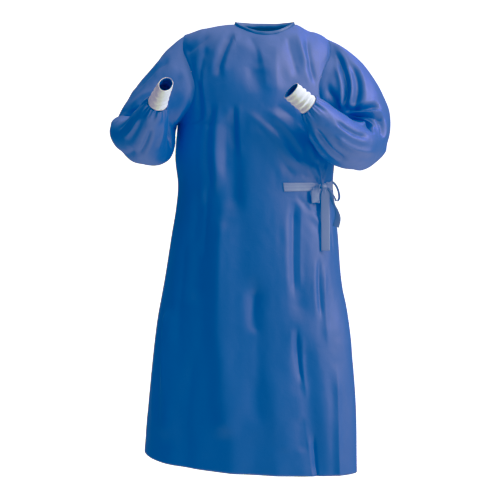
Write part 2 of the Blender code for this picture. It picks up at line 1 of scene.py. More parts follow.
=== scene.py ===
"""Looks of the surgical gown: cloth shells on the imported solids, with creases, seams and a tied bow."""

import math

import bmesh
import bpy
import numpy as np
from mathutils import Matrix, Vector


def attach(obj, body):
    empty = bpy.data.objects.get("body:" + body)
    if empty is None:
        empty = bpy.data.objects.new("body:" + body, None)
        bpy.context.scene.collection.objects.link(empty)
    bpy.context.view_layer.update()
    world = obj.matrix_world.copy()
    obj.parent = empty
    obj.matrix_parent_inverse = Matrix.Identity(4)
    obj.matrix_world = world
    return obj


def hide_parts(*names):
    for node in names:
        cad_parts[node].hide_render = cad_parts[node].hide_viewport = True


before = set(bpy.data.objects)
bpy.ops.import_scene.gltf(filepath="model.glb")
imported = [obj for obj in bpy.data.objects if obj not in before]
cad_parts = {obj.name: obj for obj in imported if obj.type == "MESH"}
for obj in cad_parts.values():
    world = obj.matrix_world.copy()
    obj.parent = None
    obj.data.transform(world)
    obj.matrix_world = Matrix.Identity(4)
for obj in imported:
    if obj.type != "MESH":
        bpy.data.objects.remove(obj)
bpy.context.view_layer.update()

# The part's sizes, as in its source
SEAM = 0.0004
LAYER = 0.0034
BINDING_IN = 0.0024
BINDING_CLEAR = 0.006
BINDING_SPACING = 0.0022
# inward, up: from outside the panels' edges, over the fold and down inside
BINDING_PROFILE = (
    (-0.0007, -0.0018),
    (-0.0009, 0.001),
    (-0.0006, 0.004),
    (-0.0001, 0.0062),
    (0.0008, 0.0071),
    (0.0018, 0.0064),
    (0.0024, 0.004),
    (0.0024, 0.001),
    (0.002, -0.0018),
)
BELT_WIDTH = 0.023
UNDERARM = -0.270
HEM = -1.200
RIDGE_Y = 0.005
TOP_SHARE = 0.997
ROUNDING = 0.9
NECK_HALF = 0.083
NECK_DIP = {"front": 0.66, "back": 0.84}
SIDE_GAP = 0.0008
BODY_MIDDLE = (-0.02, 0.02, 0.0)

# z, left, right, y_left, y_right, x_front, y_front, x_back, y_back
SECTIONS = (
    (-1.2, -0.344, 0.247, 0.08, -0.14, 0.12, -0.187, -0.07, 0.25),
    (-1.014, -0.326, 0.245, 0.07, -0.105, 0.095, -0.172, -0.06, 0.228),
    (-0.832, -0.304, 0.23, 0.055, -0.07, 0.065, -0.156, -0.05, 0.2),
    (-0.69, -0.278, 0.2085, 0.045, -0.042, 0.042, -0.143, -0.04, 0.172),
    (-0.575, -0.259, 0.2, 0.04, -0.022, 0.02, -0.132, -0.035, 0.152),
    (-0.5, -0.246, 0.193, 0.035, -0.015, 0.005, -0.126, -0.03, 0.142),
    (-0.435, -0.24, 0.186, 0.03, -0.01, -0.005, -0.122, -0.03, 0.136),
    (-0.36, -0.247, 0.191, 0.03, -0.005, -0.015, -0.121, -0.03, 0.14),
    (-0.27, -0.24, 0.195, 0.028, 0.0, -0.02, -0.118, -0.03, 0.136),
)
# x, z
SHOULDERS = (
    (-0.25, -0.05),
    (-0.218, -0.027),
    (-0.185, -0.017),
    (-0.149, -0.01),
    (-0.083, 0.003),
    (0.0, 0.004),
    (0.083, 0.0),
    (0.119, -0.018),
    (0.144, -0.024),
    (0.174, -0.041),
    (0.205, -0.066),
)
# share, front inset, back inset
ARMHOLE = (
    (0.0, 0.0, 0.0),
    (0.1, 0.038, 0.03),
    (0.22, 0.052, 0.043),
    (0.38, 0.04, 0.036),
    (0.6, 0.02, 0.024),
    (1.0, 0.0235, 0.0235),
)
# side, x_top, z_top, x_low, z_low, height, half_width
FOLDS = (
    ("front", -0.045, -0.06, -0.02, -0.19, -0.007, 0.026),
    ("front", 0.008, -0.07, 0.026, -0.23, 0.006, 0.028),
    ("front", -0.142, -0.235, -0.13, -0.47, 0.009, 0.02),
    ("front", -0.088, -0.225, -0.085, -0.52, -0.012, 0.026),
    ("front", -0.05, -0.245, 0.1, -0.405, 0.01, 0.026),
    ("front", -0.17, -0.44, -0.19, -0.76, -0.009, 0.024),
    ("front", -0.11, -0.5, -0.115, -1.12, 0.01, 0.03),
    ("front", -0.03, -0.66, -0.028, -1.08, -0.007, 0.024),
    ("front", 0.082, -0.47, 0.092, -0.8, -0.007, 0.024),
    ("front", 0.095, -0.82, 0.142, -1.23, -0.009, 0.026),
    ("front", -0.262, -0.76, -0.275, -1.15, 0.008, 0.024),
    ("back", -0.15, -0.2, -0.12, -0.52, -0.01, 0.028),
    ("back", -0.02, -0.12, -0.01, -0.43, 0.008, 0.034),
    ("back", 0.085, -0.23, 0.07, -0.56, -0.01, 0.028),
    ("back", -0.19, -0.56, -0.23, -1.23, 0.014, 0.034),
    ("back", -0.09, -0.52, -0.11, -1.23, -0.014, 0.032),
    ("back", 0.015, -0.56, 0.02, -1.23, 0.012, 0.034),
    ("back", 0.11, -0.54, 0.14, -1.23, -0.012, 0.03),
)
FOLD_FADE = 0.060
# level, outer, inner
FREE_EDGES = (
    (-0.93, 0.545, 0.86),
    (-0.3, 0.54, 0.82),
    (-0.16, 0.548, 0.805),
    (0.0, 0.6, 0.795),
    (0.22, 0.64, 0.792),
    (0.5, 0.655, 0.791),
)
DIP_SPAN = 0.028
DIP_LEAD = 0.006
# x, y, z, across, deep
SLEEVES = {
    "right": (
        (-0.24, 0.008, -0.17, 0.103, 0.09),
        (-0.2745, 0.01, -0.204, 0.078, 0.086),
        (-0.312, 0.002, -0.252, 0.08, 0.076),
        (-0.325, -0.014, -0.292, 0.0865, 0.062),
        (-0.337, -0.046, -0.314, 0.09, 0.054),
        (-0.331, -0.086, -0.314, 0.076, 0.05),
        (-0.316, -0.126, -0.294, 0.061, 0.048),
        (-0.3, -0.164, -0.264, 0.05, 0.044),
        (-0.286, -0.198, -0.236, 0.039, 0.037),
        (-0.276, -0.222, -0.217, 0.0265, 0.0265),
    ),
    "left": (
        (0.203, -0.006, -0.166, 0.106, 0.092),
        (0.239, -0.012, -0.198, 0.086, 0.088),
        (0.262, -0.018, -0.248, 0.079, 0.08),
        (0.269, -0.034, -0.288, 0.071, 0.066),
        (0.256, -0.064, -0.319, 0.068, 0.059),
        (0.233, -0.098, -0.328, 0.073, 0.06),
        (0.196, -0.13, -0.31, 0.068, 0.056),
        (0.161, -0.156, -0.277, 0.055, 0.049),
        (0.131, -0.176, -0.244, 0.042, 0.04),
        (0.11, -0.189, -0.222, 0.028, 0.028),
    ),
}
# first, last, angle, half_width, rounds
EASED = {
    "right": ((1, 6, 0, 100, 3), (5, 10, 70, 70, 3)),
    "left": ((1, 7, 20, 120, 8),),
}
ELBOW_AXIS = {"right": (-0.860, 0.085, 0.505), "left": (0.735, -0.595, 0.326)}
ARM_START = {"right": (-0.86, 0.0, -0.51), "left": (0.86, -0.10, -0.50)}
CUFF_MOUTH = {"right": (-0.250, -0.281, -0.172), "left": (0.064, -0.208, -0.185)}
CUFF_HALF = {"right": (0.0170, 0.0245), "left": (0.0265, 0.0225)}
CUFF_TUCK = 0.002
CUFF_FINE = (70, 264)
CUFF_RIBS = 66
RIB_HEIGHT = 0.00028
RING_HEIGHT = 0.00024
# share, height: the folds that ring a cuff, before they are evened out
CUFF_RINGS = (
    (0, 0),
    (0.1, 6),
    (0.24, -8),
    (0.33, 7),
    (0.47, -9),
    (0.57, 6),
    (0.7, -7),
    (0.8, 5),
    (0.92, -3),
    (1, 1),
)
CUFF_TURN = {"right": 0.6, "left": 2.4}
SLEEVE_OFF_BODY = 0.0035
GATHERS = 8
GATHER_HEIGHT = 0.0022
GATHER_LENGTH = 0.055
SMALL_GATHERS = 19
SMALL_GATHER_HEIGHT = 0.0015
SMALL_GATHER_LENGTH = 0.036
CUFF_CALM = 0.03
CHEST_SHARES = (0.0, 0.006, 0.027, 0.065, 0.12, 0.19, 0.27, 0.36, 0.46, 0.565, 0.675, 0.785, 0.89, 1.0)
SLEEVE_STATIONS = 15
ARMHOLE_POINTS = 26
BLEND_ROWS = 5
STRAP = 0.0014
STRAP_START_X = 0.048
STRAP_OUT = 0.0008
STRAP_PAST_KNOT = 0.007
STRAP_COLUMN = 0.0025
STRAP_WAIST = (0.52, 0.026)
STRAP_PLEAT = (0.0010, 0.034)
STRAP_RISE = (0.0024, 0.010)
RIBBON_ACROSS = 13
RIBBON_STEPS = 64
RIBBON_PLEAT = (0.0009, 0.30)
RIBBON_CUP = {"loop": 0.00096, "tail": 0.00042}
KNOT_FINE = (28, 56)
KNOT_X = 0.151
KNOT_Z = -0.435
KNOT_OUT = 0.0110
KNOT_SIZE = (0.020, 0.015, 0.018)
KNOT_TURN = 35
# x, y, z, width_x, width_y, width_z
RIBBONS = {
    "bow_loop_front": (
        (-0.0092, -0.005, 0.003, 0.3, -0.3, 0.9),
        (-0.019, -0.015, -0.002, 0.75, -0.25, 0.45),
        (-0.025, -0.022, -0.015, 0.97, 0.05, 0.1),
        (-0.025, -0.024, -0.03, 0.97, 0.15, 0.0),
        (-0.024, -0.02, -0.041, 0.95, 0.3, 0.0),
        (-0.021, -0.0135, -0.034, 0.9, 0.4, 0.0),
        (-0.016, -0.0095, -0.02, 0.85, 0.5, 0.1),
        (-0.0075, -0.004, -0.008, 0.6, 0.6, 0.3),
    ),
    "bow_loop_side": (
        (0.0088, -0.002, 0.005, 0.0, -0.5, 0.87),
        (0.02, 0.002, 0.011, 0.05, -0.9, 0.4),
        (0.031, 0.006, 0.003, 0.2, -0.97, 0.1),
        (0.039, 0.008, -0.014, 0.2, -0.98, 0.0),
        (0.041, 0.008, -0.032, 0.2, -0.98, 0.0),
        (0.034, 0.004, -0.039, 0.1, -0.99, 0.05),
        (0.025, -0.001, -0.025, 0.1, -0.98, 0.1),
        (0.01, -0.004, -0.004, 0.1, -0.8, 0.55),
    ),
    "tail_twisted": (
        (0.006, -0.004, -0.0062, 0.75, -0.6, 0.3),
        (0.0165, -0.013, -0.024, 0.6, -0.8, 0.1),
        (0.024, -0.016, -0.046, 0.3, -0.95, 0.05),
        (0.033, -0.013, -0.066, 0.45, -0.89, 0.0),
        (0.036, -0.009, -0.086, 0.75, -0.66, 0.0),
        (0.031, -0.007, -0.108, 0.85, -0.5, 0.1),
    ),
    "tail_straight": (
        (0.001, -0.0068, -0.0062, 0.98, -0.2, 0.0),
        (0.002, -0.014, -0.026, 0.99, -0.12, 0.0),
        (0.002, -0.017, -0.06, 0.99, -0.12, 0.0),
        (0.003, -0.022, -0.11, 0.99, -0.12, 0.0),
        (0.003, -0.03, -0.17, 0.99, -0.12, 0.0),
    ),
}
RIBBON_WIDTH = {"bow_loop_front": 0.021, "bow_loop_side": 0.018, "tail_twisted": 0.02, "tail_straight": 0.023}
RIBBON_NARROW = 0.45
RIBBON_TAPER = 0.22

# Creases of the body, in millimetres but the last: x_top, z_top, x_low, z_low, bend, height, half_width, lean
CREASES = {
    "front": (
        (-82, -20, -128, -145, 6, -6, 9, 0.5),
        (-68, -20, -112, -150, 6, 4.5, 10, -0.3),
        (-46, -30, -18, -125, -8, -4, 12, 0.0),
        (-20, -50, 0, -190, -6, 3.5, 14, 0.2),
        (30, -50, 34, -200, 4, 3, 16, 0.0),
        (60, -30, 94, -150, 6, -3.5, 12, 0.3),
        (86, -20, 120, -120, 6, 3.2, 11, 0.0),
        (112, -30, 136, -165, 8, -4.5, 9, 0.4),
        (-145, -30, -215, -80, -5, -3.5, 10, 0.4),
        (-152, -60, -172, -165, 10, -4.5, 9, -0.4),
        (-166, -110, -150, -270, 6, 4, 11, 0.0),
        (-182, -150, -176, -300, -6, -3.5, 10, 0.0),
        (-140, -200, -142, -470, 8, -5.5, 10, 0.4),
        (-122, -205, -118, -440, 6, 5, 10, -0.3),
        (-104, -225, -108, -420, -4, -4.5, 9, 0.2),
        (-82, -215, -78, -345, 4, -6, 8, 0.4),
        (-68, -210, -62, -370, 3, 4.5, 9, 0.0),
        (-60, -230, 96, -395, -12, 5, 12, 0.4),
        (-46, -252, 80, -420, -10, -4, 12, 0.0),
        (-5, -225, 110, -360, -10, 4, 12, 0.0),
        (20, -215, 132, -330, -12, -5, 12, 0.3),
        (60, -235, 140, -385, -10, 3.5, 10, 0.0),
        (118, -375, 150, -425, -3, 3, 6, 0.0),
        (136, -365, 156, -425, -2, -2.6, 6, 0.0),
        (168, -375, 160, -425, 2, 2.6, 6, 0.0),
        (95, -402, 146, -430, -2, -2.2, 6, 0.0),
        (80, -452, 150, -520, 6, -3, 9, 0.0),
        (110, -470, 165, -560, 6, 3, 10, 0.0),
        (170, -462, 185, -620, 3, -3, 9, 0.0),
        (-156, -410, -162, -640, 5, -4.5, 10, 0.4),
        (-170, -430, -176, -600, -4, 3.5, 11, 0.0),
        (-110, -460, -118, -980, 10, 3.5, 13, 0.3),
        (-96, -480, -98, -900, 10, -3, 12, 0.0),
        (-30, -700, -24, -830, 3, -5, 8, 0.3),
        (-18, -730, -28, -980, 6, 3.5, 10, 0.0),
        (82, -455, 80, -740, 6, -4, 10, 0.4),
        (98, -470, 96, -720, 4, 3.2, 12, 0.0),
        (146, -620, 152, -790, 4, -4.5, 9, 0.3),
        (160, -640, 166, -860, 4, 3, 11, 0.0),
        (86, -800, 98, -960, 6, -5, 9, 0.5),
        (100, -820, 112, -1000, 6, 3.8, 11, 0.0),
        (96, -1040, 100, -1140, 3, -3.5, 8, 0.0),
        (128, -1080, 140, -1280, 4, -5, 9, 0.5),
        (-268, -760, -272, -1020, 4, 5, 7, 0.4),
        (-280, -800, -290, -1120, 4, -3.5, 12, 0.0),
        (-214, -560, -232, -900, 6, -3.5, 13, 0.0),
        (-190, -860, -206, -1260, 8, -4.5, 14, 0.3),
        (-70, -980, -82, -1260, 6, 4, 14, 0.0),
        (30, -900, 36, -1260, 6, 4, 16, 0.0),
        (190, -900, 196, -1260, 4, 4, 14, 0.0),
    ),
    "back": (
        (-160, -80, -195, -230, 8, -4.5, 11, 0.4),
        (-120, -60, -150, -260, -10, 4, 13, 0.0),
        (-60, -60, -90, -220, 6, -3.5, 12, 0.3),
        (10, -60, 0, -240, 6, 3.5, 14, 0.0),
        (70, -60, 100, -240, -6, -4, 12, 0.3),
        (120, -90, 150, -250, -8, 4, 12, 0.0),
        (180, -300, 0, -440, 12, -4.5, 12, 0.3),
        (170, -360, 20, -470, 8, 3.5, 11, 0.0),
        (180, -480, 60, -640, -12, -4, 12, 0.3),
        (150, -470, 110, -700, -8, 3.5, 12, 0.0),
        (-180, -280, -170, -520, 8, 4.5, 12, 0.3),
        (-150, -300, -130, -600, 8, -4.5, 11, 0.0),
        (-60, -340, -50, -660, 8, -4, 13, 0.3),
        (10, -420, 40, -780, -8, 4, 14, 0.0),
        (-220, -600, -260, -1000, 10, -5, 13, 0.4),
        (-150, -640, -160, -1080, 10, 4.5, 14, 0.0),
        (-50, -720, -60, -1260, 8, 4.5, 15, 0.0),
        (60, -760, 80, -1260, 8, -5, 14, 0.3),
        (170, -700, 190, -1100, 6, 4.5, 13, 0.0),
        (205, -620, 215, -900, 4, -3.5, 11, 0.0),
        (-280, -900, -300, -1260, 6, 4.5, 13, 0.0),
        (-10, -1000, -10, -1260, 4, -4, 13, 0.0),
    ),
}
# Creases of the sleeves: share down the arm and degrees round it at each end, then bend, height and
# half_width in millimetres, and lean
SLEEVE_CREASES = {
    "right": (
        (0.1, 128, 0.26, 150, 6, -5, 9, 0.4),
        (0.12, 140, 0.3, 165, 6, 4, 10, 0.0),
        (0.06, 100, 0.24, 110, -8, -4.5, 10, 0.0),
        (0.16, 90, 0.34, 128, 10, 4.5, 11, 0.3),
        (0.24, 72, 0.38, 100, 10, -6, 10, 0.4),
        (0.3, 90, 0.44, 150, -10, -5.5, 10, 0.0),
        (0.32, 80, 0.46, 128, -8, 5, 10, 0.0),
        (0.36, 120, 0.5, 185, -10, 4.5, 12, 0.0),
        (0.4, 60, 0.52, 20, 6, -5, 10, 0.0),
        (0.44, 70, 0.62, 40, 8, 4.5, 11, 0.0),
        (0.46, 110, 0.62, 160, -8, -5, 11, 0.3),
        (0.54, 100, 0.74, 110, 6, 4.2, 10, 0.0),
        (0.58, 60, 0.8, 50, 6, -4.5, 9, 0.3),
        (0.62, 200, 0.84, 190, -6, -4, 10, 0.0),
        (0.66, 230, 0.88, 235, 6, 4, 9, 0.0),
        (0.64, 280, 0.86, 290, 6, -4, 10, 0.3),
        (0.5, 240, 0.68, 270, 8, -4.5, 13, 0.0),
        (0.4, 230, 0.52, 300, 8, 4.5, 14, 0.0),
        (0.1, 20, 0.26, 10, 6, -5, 11, 0.0),
        (0.08, 200, 0.3, 215, 8, -4.5, 12, 0.3),
        (0.12, 240, 0.36, 250, 8, 4.5, 13, 0.0),
        (0.1, 290, 0.34, 300, -8, -5, 12, 0.0),
        (0.7, 330, 0.88, 340, 5, 3.5, 9, 0.0),
        (0.74, 150, 0.9, 140, 4, -3.5, 8, 0.0),
    ),
    "left": (
        (0.03, 138, 0.24, 92, 6, -5, 9, 0.4),
        (0.05, 118, 0.24, 84, 4, 4.5, 9, 0.0),
        (0.1, 132, 0.26, 98, 6, 4.5, 9, 0.0),
        (0.14, 150, 0.28, 104, 8, -4.8, 10, 0.3),
        (0.05, 80, 0.24, 76, 5, -4.5, 9, 0.0),
        (0.26, 90, 0.3, 168, -10, -6, 8, 0.3),
        (0.3, 98, 0.34, 172, -8, 5, 8, 0.0),
        (0.33, 96, 0.4, 176, -6, -5.8, 8, 0.3),
        (0.36, 90, 0.52, 160, -4, 5, 9, 0.0),
        (0.38, 88, 0.62, 168, 0, -5.5, 9, 0.3),
        (0.4, 84, 0.7, 150, 6, 4.5, 10, 0.0),
        (0.42, 78, 0.76, 130, 8, -5, 10, 0.0),
        (0.44, 66, 0.78, 90, 8, 4.2, 10, 0.0),
        (0.4, 60, 0.66, 40, 6, -4.5, 10, 0.3),
        (0.4, 150, 0.5, 190, 6, -4.5, 10, 0.3),
        (0.64, 180, 0.84, 200, 8, -4.2, 10, 0.3),
        (0.58, 210, 0.8, 236, 8, 4.2, 12, 0.0),
        (0.66, 262, 0.88, 268, 6, -4.2, 10, 0.0),
        (0.7, 300, 0.88, 312, 6, 4, 10, 0.0),
        (0.46, 220, 0.6, 290, 10, 4.5, 14, 0.0),
        (0.08, 20, 0.26, 12, 6, -4.5, 11, 0.0),
        (0.08, 205, 0.3, 214, 8, -4.5, 12, 0.3),
        (0.12, 240, 0.36, 250, 8, 4.5, 13, 0.0),
        (0.1, 290, 0.34, 300, -8, -5, 12, 0.0),
    ),
}
SLEEVE_DEPTH = {"right": 1.1, "left": 1.75}
SLEEVE_CRISP = {"right": 0.95, "left": 0.85}
CREASE_STEPS = 10
CREASE_FADE = 0.22
CREASE_PAIR = 0.45
CREASE_CREST = 1.35
CREASE_LEAN = 0.6
PAIR_OFF = 1.9
PAIR_WIDTH = 1.2
# Rough girths that turn shares round the body and the sleeves into metres
GIRTH = 1.2
SLEEVE_ROUND = 0.07
CRUMPLES = (
    ((0.075, 0.075, 0.2), 0.003),
    ((0.034, 0.034, 0.07), 0.0012),
    ((0.013, 0.013, 0.022), 0.0004),
)
EDGE_CALM = 0.014

# Fineness of the shells
FRONT_FINE = (54, 54, 54)
OUTER_FINE = (96, 52)
INNER_FINE = (44, 60)
SKIRT_FINE = 170
CHEST_FINE = 64
AROUND_FINE = 130
ARM_FINE = 150

SEAM_RADIUS = 0.0006
SEAM_PITCH = 0.0026
SEAM_SIDES = 6

CLOTH_SHELL = 0.0009
KNIT_SHELL = 0.0018

# Light from round the object: overhead and floor, the horizon, and how much more comes from the wearer's left
SKY_OVERHEAD = 1.6
SKY_HORIZON = 0.12
SKY_LEAN = 0.60
# name, place, aimed at, width and height, power
LIGHTS = (
    ("side", (2.9, -1.5, 0.45), (0.05, 0.0, -0.3), (1.0, 1.8), 36),
    ("top", (2.1, -1.5, 1.7), (0.08, 0.0, -0.15), (1.4, 1.0), 26),
)
CAMERA_LENS = 83.736
CAMERA_PLACE = (-0.0407, -3.2, -0.30)
CAMERA_DOWN = 5.6
FLOOR_HALF = 8.0
FLOOR_Z = -1.5
DOME_RADIUS = 24.0
# colour, darker colour of its mottling
COLOURS = {
    "cloth": ((0.001, 0.096, 0.500, 1.0), (0.000, 0.082, 0.450, 1.0)),
    "binding": ((0.001, 0.100, 0.420, 1.0), (0.000, 0.082, 0.360, 1.0)),
    "belt": ((0.260, 0.380, 0.680, 1.0), (0.210, 0.330, 0.600, 1.0)),
    # knit: its darker colour is painted shade, darker and bluer in the grooves between the stitches
    "knit": ((0.96, 0.97, 1.00, 1.0), (0.70, 0.74, 0.86, 1.0)),
    # painted shade: a dark blue for the inside of the white knit cuffs, standing for the shade in their
    # openings
    "cuff_inside_painted_shade": ((0.000, 0.080, 0.420, 1.0), (0.000, 0.060, 0.340, 1.0)),
}
# light, shown: tone curves over the whole picture. They take red from the shade, lift its green and blue
# and hold back the blue of what is lit, which lights and colours alone didn't do
RED_CURVE = ((0.030, 0.001), (0.080, 0.052), (0.200, 0.160), (0.500, 0.480))
GREEN_CURVE = ((0.050, 0.066), (0.120, 0.120), (0.300, 0.240), (0.600, 0.600))
BLUE_CURVE = ((0.140, 0.225), (0.250, 0.290), (0.450, 0.390), (0.600, 0.480), (0.750, 0.750))


def smooth(value):
    value = np.clip(value, 0.0, 1.0)
    return value * value * (3.0 - 2.0 * value)


def units(vectors):
    return vectors / np.maximum(np.linalg.norm(vectors, axis=-1, keepdims=True), 1e-12)


def read_rows(table, at):
    """The table's other columns at values of its first, by smooth curves through its rows."""
    rows = np.array(sorted(table), float)
    place = np.clip(np.asarray(at, float), rows[0, 0], rows[-1, 0])
    index = np.clip(np.searchsorted(rows[:, 0], place, side="right") - 1, 0, len(rows) - 2)
    low, high = rows[index], rows[index + 1]
    before, after = rows[np.maximum(index - 1, 0)], rows[np.minimum(index + 2, len(rows) - 1)]
    width = high[..., :1] - low[..., :1]
    slope_low = (high - before)[..., 1:] / (high - before)[..., :1]
    slope_high = (after - low)[..., 1:] / (after - low)[..., :1]
    part = (place[..., None] - low[..., :1]) / width
    return (
        (2 * part**3 - 3 * part**2 + 1) * low[..., 1:]
        + (part**3 - 2 * part**2 + part) * width * slope_low
        + (3 * part**2 - 2 * part**3) * high[..., 1:]
        + (part**3 - part**2) * width * slope_high
    )


def curve_through(table, steps):
    rows = np.array(table, float)
    padded = np.vstack([2 * rows[0] - rows[1], rows, 2 * rows[-1] - rows[-2]])
    found = []
    for share in np.linspace(0, len(rows) - 1, steps):
        index = min(int(share), len(rows) - 2)
        part = share - index
        before, first, second, after = padded[index : index + 4]
        found.append(
            0.5
            * (
                2 * first
                + (second - before) * part
                + (2 * before - 5 * first + 4 * second - after) * part**2
                + (3 * first - before - 3 * second + after) * part**3
            )
        )
    return np.array(found)


def section_points(share, z):
    columns = np.moveaxis(read_rows(SECTIONS, z), -1, 0)
    left, right, y_left, y_right, x_front, y_front, x_back, y_back = columns
    quarter = np.minimum((share * 4).astype(int), 3)
    turn = (share * 4 - quarter) * math.pi / 2
    sine, cosine = np.sin(turn), np.cos(turn)
    x = np.choose(
        quarter,
        (
            x_front + (left - x_front) * cosine,
            x_front + (right - x_front) * sine,
            x_back + (right - x_back) * cosine,
            x_back + (left - x_back) * sine,
        ),
    )
    y = np.choose(
        quarter,
        (
            y_left + (y_front - y_left) * sine,
            y_right + (y_front - y_right) * cosine,
            y_right + (y_back - y_right) * sine,
            y_left + (y_back - y_left) * cosine,
        ),
    )
    return x, y


def share_at_x(x, side, z=UNDERARM):
    x, z = np.broadcast_arrays(np.asarray(x, float), np.asarray(z, float))
    left, right, _, _, x_front, _, x_back, _ = np.moveaxis(read_rows(SECTIONS, z), -1, 0)
    middle = x_front if side == "front" else x_back
    reach = (x - middle) / (np.where(x < middle, left, right) - middle)
    turn = np.arccos(np.clip(reach, 0.0, 1.0)) / (2 * math.pi)
    if side == "front":
        return np.where(x < middle, turn, 0.5 - turn)
    return np.where(x < middle, 1.0 - turn, 0.5 + turn)


def plain_body(share, level):
    share, level = np.broadcast_arrays(np.asarray(share, float) % 1.0, np.asarray(level, float))
    z_low = UNDERARM + np.minimum(level, 0.0)
    x, y = section_points(share, z_low)
    turn = np.maximum(level, 0.0) * math.pi / 2
    top = read_rows(SHOULDERS, x)[..., 0]
    above = level > 0
    y = np.where(above, RIDGE_Y + (y - RIDGE_Y) * np.cos(turn), y)
    z = np.where(above, UNDERARM + (top - UNDERARM) * np.sin(turn) ** ROUNDING, z_low)
    return np.stack([x, y, z], -1)


def body_normal(share, level):
    share, level = np.broadcast_arrays(np.asarray(share, float), np.asarray(level, float))
    low = np.clip(level - 0.004, HEM - UNDERARM, TOP_SHARE - 0.008)
    along = plain_body(share + 0.002, level) - plain_body(share - 0.002, level)
    up = plain_body(share, low + 0.008) - plain_body(share, low)
    return units(np.cross(along, up))


def fold_height(side, x, z):
    total = np.zeros_like(x)
    for row_side, x_top, z_top, x_low, z_low, height, half_width in FOLDS:
        if row_side == side:
            along = (z_top - z) / (z_top - z_low)
            off = (x - x_top - (x_low - x_top) * along) / half_width
            fade = smooth((z_top - z) / FOLD_FADE) * smooth((z - z_low) / FOLD_FADE)
            total = total + height * fade * np.exp(-off * off)
    return total


def lattice_noise(points, cell, seed):
    """Smooth noise between -1 and 1 from a seeded grid of values."""
    grid = np.random.default_rng(seed).uniform(-1, 1, (64, 64, 64))
    place = points / np.array(cell) + 300.0
    index = np.floor(place).astype(int)
    part = place - index
    part = part * part * (3 - 2 * part)
    total = 0.0
    for corner in range(8):
        bits = np.array([corner & 1, corner >> 1 & 1, corner >> 2 & 1])
        weight = np.prod(np.where(bits == 1, part, 1 - part), axis=-1)
        at = (index + bits) % 64
        total = total + weight * grid[at[..., 0], at[..., 1], at[..., 2]]
    return total


def crumple(points):
    return sum(height * lattice_noise(points, cell, seed) for seed, (cell, height) in enumerate(CRUMPLES))


def crease_relief(at, crease, period=None):
    """Height that a crease adds to places of a flat map, with a smaller one of the other sense beside it."""
    start, end, bend, height, half_width, lean = crease
    shares = np.linspace(0, 1, CREASE_STEPS)[:, None]
    chord = end - start
    length = np.linalg.norm(chord)
    sideways = np.array((-chord[1], chord[0])) / max(length, 1e-9)
    line = start + chord * shares + sideways * bend * 4 * shares * (1 - shares)
    flat = at.reshape(-1, 2)
    nearest = np.full(len(flat), 9.0)
    signed = np.zeros(len(flat))
    along = np.zeros(len(flat))
    for index in range(CREASE_STEPS - 1):
        step = line[index + 1] - line[index]
        size = np.linalg.norm(step)
        offset = flat - line[index]
        if period:
            offset[:, 1] = (offset[:, 1] + period / 2) % period - period / 2
        part = np.clip(offset @ step / size**2, 0, 1)
        away = offset - part[:, None] * step
        distance = np.linalg.norm(away, axis=1)
        closer = distance < nearest
        side = np.sign(step[0] * offset[:, 1] - step[1] * offset[:, 0])
        nearest = np.where(closer, distance, nearest)
        signed = np.where(closer, distance * side, signed)
        along = np.where(closer, (index + part) / (CREASE_STEPS - 1), along)
    width = half_width * (1 + lean * np.sign(signed) * CREASE_LEAN)
    fade = smooth(along / CREASE_FADE) * smooth((1 - along) / CREASE_FADE)
    main = np.exp(-(np.abs(signed / width) ** CREASE_CREST))
    pair = np.exp(-(((signed - PAIR_OFF * half_width) / (PAIR_WIDTH * half_width)) ** 2))
    return (height * fade * (main - CREASE_PAIR * pair)).reshape(at.shape[:-1])


def body_creases(share, z):
    """Relief of the body's creases over shares round it and heights."""
    at = np.stack([z, share * GIRTH], -1)
    total = np.zeros_like(share)
    for side, rows in CREASES.items():
        for *sizes, lean in rows:
            x_top, z_top, x_low, z_low, bend, height, half_width = (size / 1000 for size in sizes)
            ends = [
                np.array((z, float(share_at_x(x, side, max(min(z, UNDERARM), HEM))) * GIRTH))
                for x, z in ((x_top, z_top), (x_low, z_low))
            ]
            total = total + crease_relief(at, (*ends, bend, height, half_width, lean), GIRTH)
    return total


def armhole_share(arm, side, level):
    insets = read_rows(ARMHOLE, level)[..., 0 if side == "front" else 1]
    left, right = read_rows(SECTIONS, UNDERARM)[:2]
    return share_at_x(left + insets if arm == "right" else right - insets, side)


def neck_limit(side, share):
    x = section_points(share, np.full_like(share, UNDERARM))[0]
    reach = np.minimum(np.abs(x) / NECK_HALF, 1.0)
    dip = NECK_DIP[side]
    return TOP_SHARE * (dip + (1 - dip) * (1 - np.sqrt(1 - reach * reach)))


def free_edges(level):
    outer, inner = np.moveaxis(read_rows(FREE_EDGES, level), -1, 0)
    corners = share_at_x(NECK_HALF, "back"), share_at_x(-NECK_HALF, "back")
    part = smooth(np.asarray(level) / 0.5)
    return outer + (corners[0] - outer) * part, inner + (corners[1] - inner) * part


def fine_levels():
    below = np.linspace(HEM - UNDERARM, 0, SKIRT_FINE + 1)
    above = np.linspace(0, 1, CHEST_FINE + 1)[1:]
    return np.concatenate([below, above])


def spread(stops, counts):
    """Shares between the stops of each row, the given number of steps for each stretch."""
    found = [stops[0][:, None]]
    for low, high, count in zip(stops, stops[1:], counts):
        steps = np.arange(1, count + 1) / count
        found.append(low[:, None] + (high - low)[:, None] * steps[None, :])
    return np.concatenate(found, axis=1)


def body_surface(share, level, side, out=0.0, calm=1.0):
    """Points of the worn body with folds, creases and crumples. calm takes fine relief away near seams."""
    point = plain_body(share, level)
    normal = body_normal(share, level)
    fine = body_creases(share % 1.0, point[..., 2]) + crumple(point)
    height = fold_height(side, point[..., 0], point[..., 2]) + fine * calm + out
    return point + normal * height[..., None]


def calm_near_edges(points, edges):
    """1 away from the first or last column of a grid of points, as named, falling to 0 on it."""
    calm = np.ones(points.shape[:2])
    for edge in edges:
        way = 1 if edge == "first" else -1
        run = np.concatenate([np.zeros((len(points), 1)), lengths(points[:, ::way], 1)], axis=1)[:, ::way]
        calm = calm * smooth(run / EDGE_CALM)
    return calm


def lengths(points, axis):
    return np.cumsum(np.linalg.norm(np.diff(points, axis=axis), axis=-1), axis=axis)


